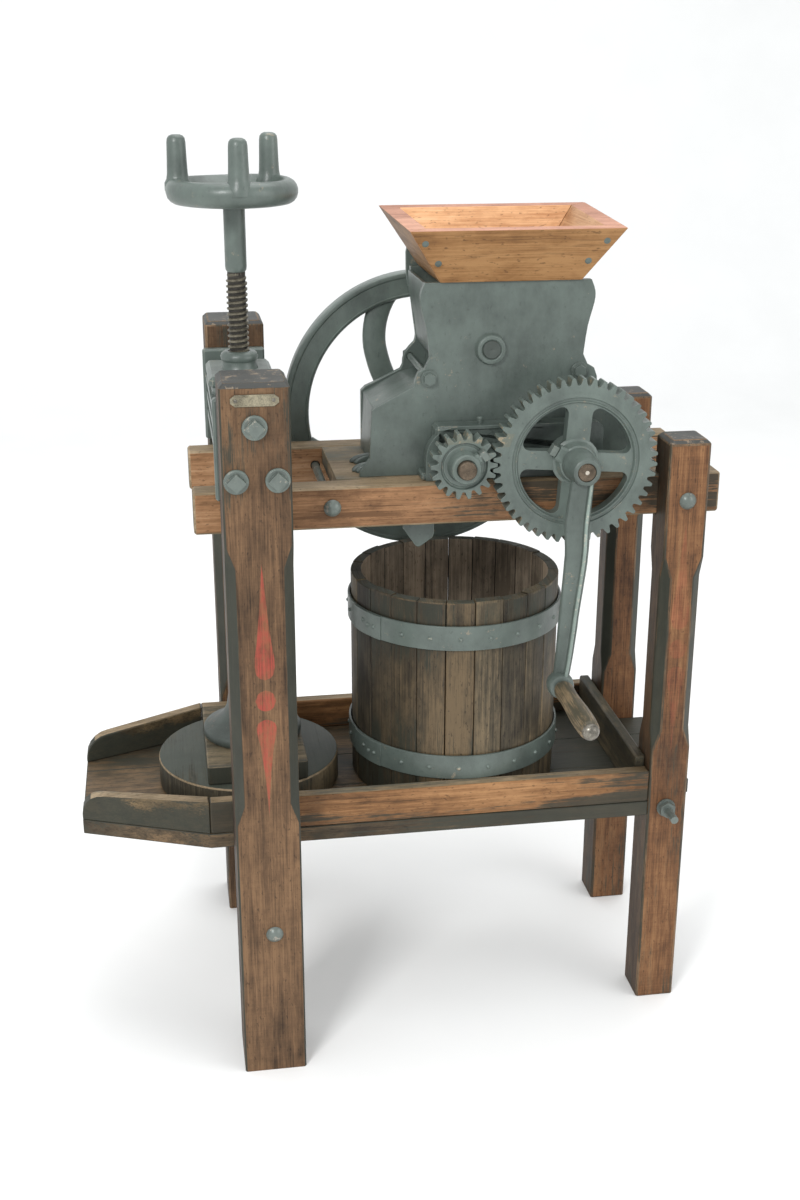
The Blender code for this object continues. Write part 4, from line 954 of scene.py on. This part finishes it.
def plugs(where):
    """Two plugs near each end of the front and rear boards."""
    if where in ("left", "right"):
        return []
    side = -1 if where == "front" else 1
    (x0, x1), ends, (z0, z1) = (span(f"hopper_{where}_board", axis) for axis in (X, Y, Z))
    rim = side * ends[0 if side < 0 else 1]
    left, right, foot = HOPPER_FOOT
    slope = Vector((0, side * (z1 - z0), foot - rim)).normalized()
    plug = mm([(0, 1.3), (3.8, 1), (5.2, 0), (5.2, -2), (0, -2)])
    shapes = []
    for share, inset in ((0.37, 0.012), (0.75, 0.010)):
        y = side * (foot + (rim - foot) * share)
        z = z0 + (z1 - z0) * share
        for x in (left + (x0 - left) * share + inset, right + (x1 - right) * share - inset - 0.003):
            shapes.append(painted(turned(plug, (x, y, z), slope, 20), 3))
    return shapes


# ---- gears, crank and flywheel

# The gears' module, and the y range of their teeth.
MODULE = 0.0046
GEAR_Y = (span("crank_gear", Y)[0] + 0.012, span("crank_gear", Y)[1] - 0.004)
# The gear paint is a lighter copy of the iron paint: painted light.
GEAR_MATS = ["gear", "teeth", "bolt", "iron_worn_highlight"]
# The radius of the bore in a hub, in millimetres.
BORE = 12.8


def teeth_outline(count, centre, phase):
    """Cast teeth on the CAD's pitch. A flank is (share of half a tooth's angle, height in modules)."""
    pitch = MODULE * count / 2
    half = 180 / count
    flank = ((-0.80, -1.18), (-0.62, -0.80), (-0.46, 0.05), (-0.32, 0.75), (-0.20, 0.97))
    tooth = (*flank, *((-side, height) for side, height in reversed(flank)))
    return [polar(pitch + height * MODULE, phase + 2 * half * i + side * half, centre)
            for i in range(count) for side, height in tooth]


def toothed(count, phase, centre, hole, inner):
    """A gear's rim, with worn paint on its teeth."""
    bm = plate([teeth_outline(count, centre, phase), circle(centre, hole, 96 if count > 20 else 72)], *GEAR_Y)

    def worn(face):
        at = face.calc_center_median()
        return abs(face.normal.y) < 0.5 and math.hypot(at.x - centre[0], at.z - centre[1]) > inner

    return painted(bm, 1, worn)


def window(centre, turn, half_a, half_b, outer, fillet):
    """A gap between two spokes, with rounded corners. half_a and half_b are the spokes' half widths."""
    u, v, reach = half_b + fillet, half_a + fillet, outer - fillet
    corners = [(u, v), (math.sqrt(reach**2 - v**2), v), (u, math.sqrt(reach**2 - u**2))]
    first, last = (math.degrees(math.atan2(y, x)) for x, y in corners[1:])
    line = [polar(fillet, a, corners[0]) for a in range(180, 271, 15)]
    line += [polar(fillet, 270 + (90 + first) * k / 6, corners[1]) for k in range(7)]
    line += [polar(outer, first + (last - first) * k / 14) for k in range(1, 14)]
    line += [polar(fillet, last + (180 - last) * k / 6, corners[2]) for k in range(7)]
    c, n = polar(1, turn)
    return [(centre[0] + x * c - y * n, centre[1] + x * n + y * c) for x, y in line]


def set_screw_lug(centre, turn, y0, y1, reach, wide):
    """A cast lug on a hub with a square-headed set screw in its end."""
    x, z = polar(1, turn)
    along, across = Vector((x, 0, z)), Vector((-z, 0, x))
    start = Vector((centre[0], 0, centre[1]))
    rings = []
    for s, half in ((0.008, wide), (reach * 0.6, wide * 0.92), (reach, wide * 0.80)):
        low = y0 + (y1 - y0) * 0.08 * s / reach
        corners = [(-half, low + 0.003), (-half + 0.003, low), (half - 0.003, low), (half, low + 0.003)]
        corners += [(half, y1), (-half, y1)]
        rings.append([start + along * s + across * w + Vector((0, y, 0)) for w, y in corners])
    end = start + along * reach + Vector((0, (y0 + y1) / 2, 0))
    head = box((0, -0.0068, -0.0068), (0.0085, 0.0068, 0.0068))
    turn_head = Matrix((along, Vector(BACK), across)).transposed().to_4x4()
    head.transform(Matrix.Translation(end + along * 0.0015) @ turn_head)
    bmesh.ops.recalc_face_normals(head, faces=head.faces)
    neck = rod(end - along * 0.002, end + along * 0.003, 0.0050, 16)
    return [loft(rings), painted(neck, 2), painted(head, 2)]


def crank_gear():
    y0, y1 = GEAR_Y
    centre = (GEAR_X, SHAFT_Z)
    shapes = [toothed(48, 3.75, centre, 0.0955, 0.1)]
    deep = (y1 - y0) * 1000
    band = [(80.5, 4.5), (81.2, 2.2), (82.8, 0), (84, 0), (85, 2.4), (88, 2.4), (89, 0), (96, 0), (96, deep)]
    band += [(81.5, deep), (80.5, deep - 3)]
    shapes.append(turned(mm(band, y0), ON_GEAR, BACK, 112))
    spokes = (0.0130, 0.0165)
    windows = [window(centre, 90 * k - 4, *(spokes if k % 2 == 0 else spokes[::-1]), 0.0792, 0.0095)
               for k in range(4)]
    shapes.append(plate([circle(centre, 0.0816, 112), *windows], y0 + 0.0035, y1 - 0.003))
    face = span("crank_gear", Y)[0]
    hub = mm([(BORE, 0), (22.5, 0), (25, 2)], face) + mm([(26.8, -2), (29, 2), (33, 4.2)], y0)
    hub += mm([(26.8, 3), (BORE, 3)], y1)
    shapes.append(turned(hub, ON_GEAR, BACK, 56))
    shapes += set_screw_lug(centre, 150, face - 0.001, y0 + 0.004, 0.0330, 0.0128)
    # Its bevels take the paler worn paint: a painted highlight, and wear.
    piece("crank_gear", merged(*shapes), GEAR_MATS, 0.0009, 2, 3, 42)


def pinion():
    y0, y1 = GEAR_Y
    centre = (0, SHAFT_Z)
    deep = (y1 - y0) * 1000
    web = [(12.5, 2), (27.5, 2), (29, 4), (31, 4), (32.2, 0), (33.2, 0), (33.2, deep), (12.5, deep)]
    face = span("drum_pinion", Y)[0]
    hub = mm([(BORE, 1.2), (14.2, 0), (18.6, 0), (20.4, 1.8)], face)
    hub += mm([(21.2, -1), (24, 3), (BORE, 3)], y0)
    back = mm([(BORE, -2), (19.5, -2), (19.5, 4), (BORE, 4)], y1)
    shapes = [toothed(18, 0, centre, 0.0325, 0.034), turned(mm(web, y0), ON_DRUM, BACK, 80)]
    shapes += [turned(hub, ON_DRUM, BACK, 56), turned(back, ON_DRUM, BACK, 48)]
    shapes += set_screw_lug(centre, 34, face + 0.0035, y0 - 0.0005, 0.0245, 0.0085)
    # Its bevels take the paler worn paint: a painted highlight, and wear.
    piece("drum_pinion", merged(*shapes), GEAR_MATS, 0.0008, 2, 3, 42)


def crank_arm():
    """A flat arm with a thin rib towards its right edge, between a large hub and a small one."""
    front, back = span("crank_arm", Y)
    path = [(GEAR_X, SHAFT_Z), (0.1485, 0.790), (0.1490, 0.740), (0.1428, 0.665), (0.1370, 0.590), GRIP.xz]
    widths = smooth_line([(0.0, 0.0150), (0.25, 0.0172), (0.55, 0.0148), (0.85, 0.0118), (1.0, 0.0112)], 8)
    web_front, web_back, crest = front + 0.0125, front + 0.0195, front + 0.0025
    rings = []
    for share, (x, z), across in stations(smooth_line(path, 6)):
        half = next(w for at, w in widths if at >= share - 1e-9)
        rib = half * 0.60 * (1 - 0.6 * share)
        section = [(-half, web_back), (half, web_back), *mm([(0, 2.4), (-1.6, 0)], web_front, half)]
        section += mm([(4.6, -0.3), (2.8, -2.2)], web_front, rib)
        section += mm([(2.3, 1.2), (1.4, 0), (-1.4, 0), (-2.3, 1.2)], crest, rib)
        section += mm([(-2.8, -2.2), (-5.2, -0.3)], web_front, rib)
        section += mm([(1.6, 0), (0, 2.4)], web_front, -half)
        rings.append([(x + across.x * w, y, z + across.y * w) for w, y in section])
    # The crest of the rib takes the much paler paint: a painted highlight, and wear.
    arm = painted(loft(rings), 1, lambda face: face.calc_center_median().y < crest + 0.0009)
    top = mm([(BORE, 0.8), (14, 0), (16.8, 0), (18.6, 1.6), (19.6, 8), (22.2, 15)], front)
    top += mm([(23.2, 0), (BORE, 0)], back)
    small = mm([(0, 0.5), (13, 0.5), (16.4, 2.2), (18.2, 6), (18.8, 12), (17.2, 22.5), (0, 22.5)], front)
    hubs = [turned(top, ON_GEAR, BACK, 56), turned(small, (GRIP.x, 0, GRIP.z), BACK, 48)]
    piece("crank_arm", merged(arm, *hubs), ["iron", "crest"], smooth=38)


def crank_grip():
    y0, y1 = span("crank_grip", Y)
    x, z = GRIP.xz
    length = y1 - y0
    shape = mm([(10.4, 0), (12.2, 3), (13.8, 12), (13, 30), (13.4, 55), (14.6, 85), (14.9, 112)])
    shape += mm([(13.8, -8), (12.4, -2), (11.2, 0)], length)
    line = [(0, 0), *smooth_line(shape, 4), (0, length)]
    piece("crank_grip", turned(line, (x, y1, z), FRONT, 48), ["grip"], smooth=60)
    pin_front, pin_back = span("grip_pin", Y)
    dome = mm([(0, 0), (4.2, -0.6), (8.2, -2.6), (10.8, -5.6), (11.9, -8.2), (11.9, -9), (0, -9)])
    neck = rod((x, pin_front + 0.006, z), (x, pin_back, z), 0.0055, 24)
    piece("grip_pin", merged(turned(dome, (x, pin_front, z), FRONT, 40), neck), ["cap"], smooth=50)


def flywheel():
    """A rim with raised edges on four curved spokes of oval section."""
    y0, y1 = span("flywheel", Y)
    mid = (y0 + y1) / 2
    half = (y1 - y0) / 2 - 0.006
    radius = half_span("flywheel", X)
    inner = radius - 0.037
    side = mm([(0, -4.5), (2, -1.5), (4.5, -0.8), (5.8, -3), (6.6, -3)], half, inner)
    side += mm([(-8.9, -2.2), (-8.1, -2.2), (-6.5, -0.2), (-5.9, 0)], half, radius)
    side += mm([(-1.8, 0), (-0.8, -0.4), (0, -1.5)], half, radius)
    profile = side + [(r, -s) for r, s in reversed(side)]
    shapes = [turned(profile, (0, mid, SHAFT_Z), BACK, 144)]
    spoke = [(inner + 0.010, 108.6), (0.155, 117), (0.130, 124), (0.105, 130), (0.080, 137), (0.050, 150)]
    spoke.append((0.024, 172))
    for turn in range(0, 360, 90):
        rings = []
        for s, (x, z), across in stations(smooth_line([polar(r, a + turn) for r, a in spoke], 4)):
            wide = 0.0178 + 0.0040 * max(0.0, 1 - s / 0.12) ** 2
            thick = 0.0085 + 0.0020 * s
            ring = []
            for a in range(0, 360, 20):
                c, n = (math.copysign(abs(k) ** 0.75, k) for k in polar(1, a))
                ring.append((x + across.x * wide * c, mid + thick * n, SHAFT_Z + z + across.y * wide * c))
            rings.append(ring)
        shapes.append(loft(rings))
    hub = mm([(BORE, 0), (28, 0), (32, 3), (34.5, 12)], y0)
    hub += mm([(34.5, -12), (32, -3), (28, 0), (BORE, 0)], y1)
    shapes.append(turned(hub, ON_DRUM, BACK, 56))
    # Its paint is lighter than the other iron paint: painted light.
    piece("flywheel", merged(*shapes), ["flywheel"], smooth=48)


def blank_tag():
    """A small plate with pointed ends and two screws, with nothing on it."""
    (x0, x1), (y0, y1), (z0, z1) = (span("blank_tag", axis) for axis in (X, Y, Z))
    mid_x, mid_z = (x0 + x1) / 2, (z0 + z1) / 2
    low, high, cut = mid_z - 0.003, mid_z + 0.003, 0.006
    outline = [(x0, low), (x0 + cut, z0), (x1 - cut, z0), (x1, low)]
    outline += [(x1, high), (x1 - cut, z1), (x0 + cut, z1), (x0, high)]
    border = [(x + (mid_x - x) * 0.10, z + (mid_z - z) * 0.30) for x, z in outline]
    shapes = [plate([outline], y0, y1), plate([outline, border], y0 - 0.0004, y1)]
    head = mm([(0, 1.2), (1.8, 0.9), (2.6, 0), (0, 0)])
    shapes += [painted(turned(head, (x, y0, mid_z), FRONT, 20), 1) for x in (x0 + 0.0065, x1 - 0.0065)]
    piece("blank_tag", merged(*shapes), ["brass", "cap"], 0.0002, 1)


# ---- studio

FLOOR_HALF, WALL_Y, WALL_TOP, SWEEP_R = 7.0, 4.8, 6.0, 1.2
# Each lamp's place, the height of the point it shines at, its side and its power.
LAMPS = {
    "key": ((-1.7, -2.7, 2.8), 0.7, 0.9, 74),
    "fill": ((2.8, -2.0, 1.8), 0.7, 2.0, 28),
    "top": ((0.3, 0.6, 3.4), 0.6, 2.4, 40),
}
CAMERA_AT = (-0.394, -2.1005, 1.396)
CAMERA_YAW, CAMERA_PITCH, CAMERA_ROLL = (math.radians(a) for a in (9.004, 20.213, 0.048))
LENS = 45.576


def studio():
    """A pale floor that curves up into a wall."""
    line = [(-FLOOR_HALF, 0.0), (WALL_Y - SWEEP_R, 0.0)]
    line += [polar(SWEEP_R, a, (WALL_Y - SWEEP_R, SWEEP_R)) for a in range(-80, 1, 10)]
    line.append((WALL_Y, WALL_TOP))
    bm = bmesh.new()
    rows = [[bm.verts.new((x, y, z)) for x in (-FLOOR_HALF, FLOOR_HALF)] for y, z in line]
    skin(bm, rows)
    shown("studio_sweep", bm, [floor_finish()])


def lights():
    world = bpy.data.worlds.new("studio")
    world.use_nodes = True
    background = world.node_tree.nodes["Background"]
    background.inputs["Color"].default_value = (0.96, 0.98, 1.0, 1)
    background.inputs["Strength"].default_value = 0.92
    bpy.context.scene.world = world
    for name, (at, target_z, side, power) in LAMPS.items():
        data = bpy.data.lights.new(name, "AREA")
        data.shape = "RECTANGLE"
        data.size = data.size_y = side
        data.energy = power
        lamp = linked(name, data)
        lamp.location = at
        lamp.rotation_euler = (Vector((0, 0, target_z)) - Vector(at)).to_track_quat("-Z", "Y").to_euler()


def camera():
    data = bpy.data.cameras.new("camera")
    data.lens = LENS
    data.sensor_width = 36
    data.clip_start = 0.05
    level = math.cos(CAMERA_PITCH)
    forward = Vector((math.sin(CAMERA_YAW) * level, math.cos(CAMERA_YAW) * level, -math.sin(CAMERA_PITCH)))
    right = Vector((math.cos(CAMERA_YAW), -math.sin(CAMERA_YAW), 0))
    up = right.cross(forward)
    c, n = math.cos(CAMERA_ROLL), math.sin(CAMERA_ROLL)
    turn = Matrix((c * right + n * up, c * up - n * right, -forward)).transposed()
    view = linked("camera", data)
    view.matrix_world = Matrix.Translation(Vector(CAMERA_AT) + SHIFT) @ turn.to_4x4()
    bpy.context.scene.camera = view


for build in (posts, rails_and_bed, tray, tub, follower, screw_foot, screw, handwheel, yoke, bolts, casing,
              brackets, mill_inside, shafts, hopper, crank_gear, pinion, crank_arm, crank_grip, flywheel,
              blank_tag, studio, lights, camera):
    build()
bpy.context.scene.view_settings.view_transform = "Standard"
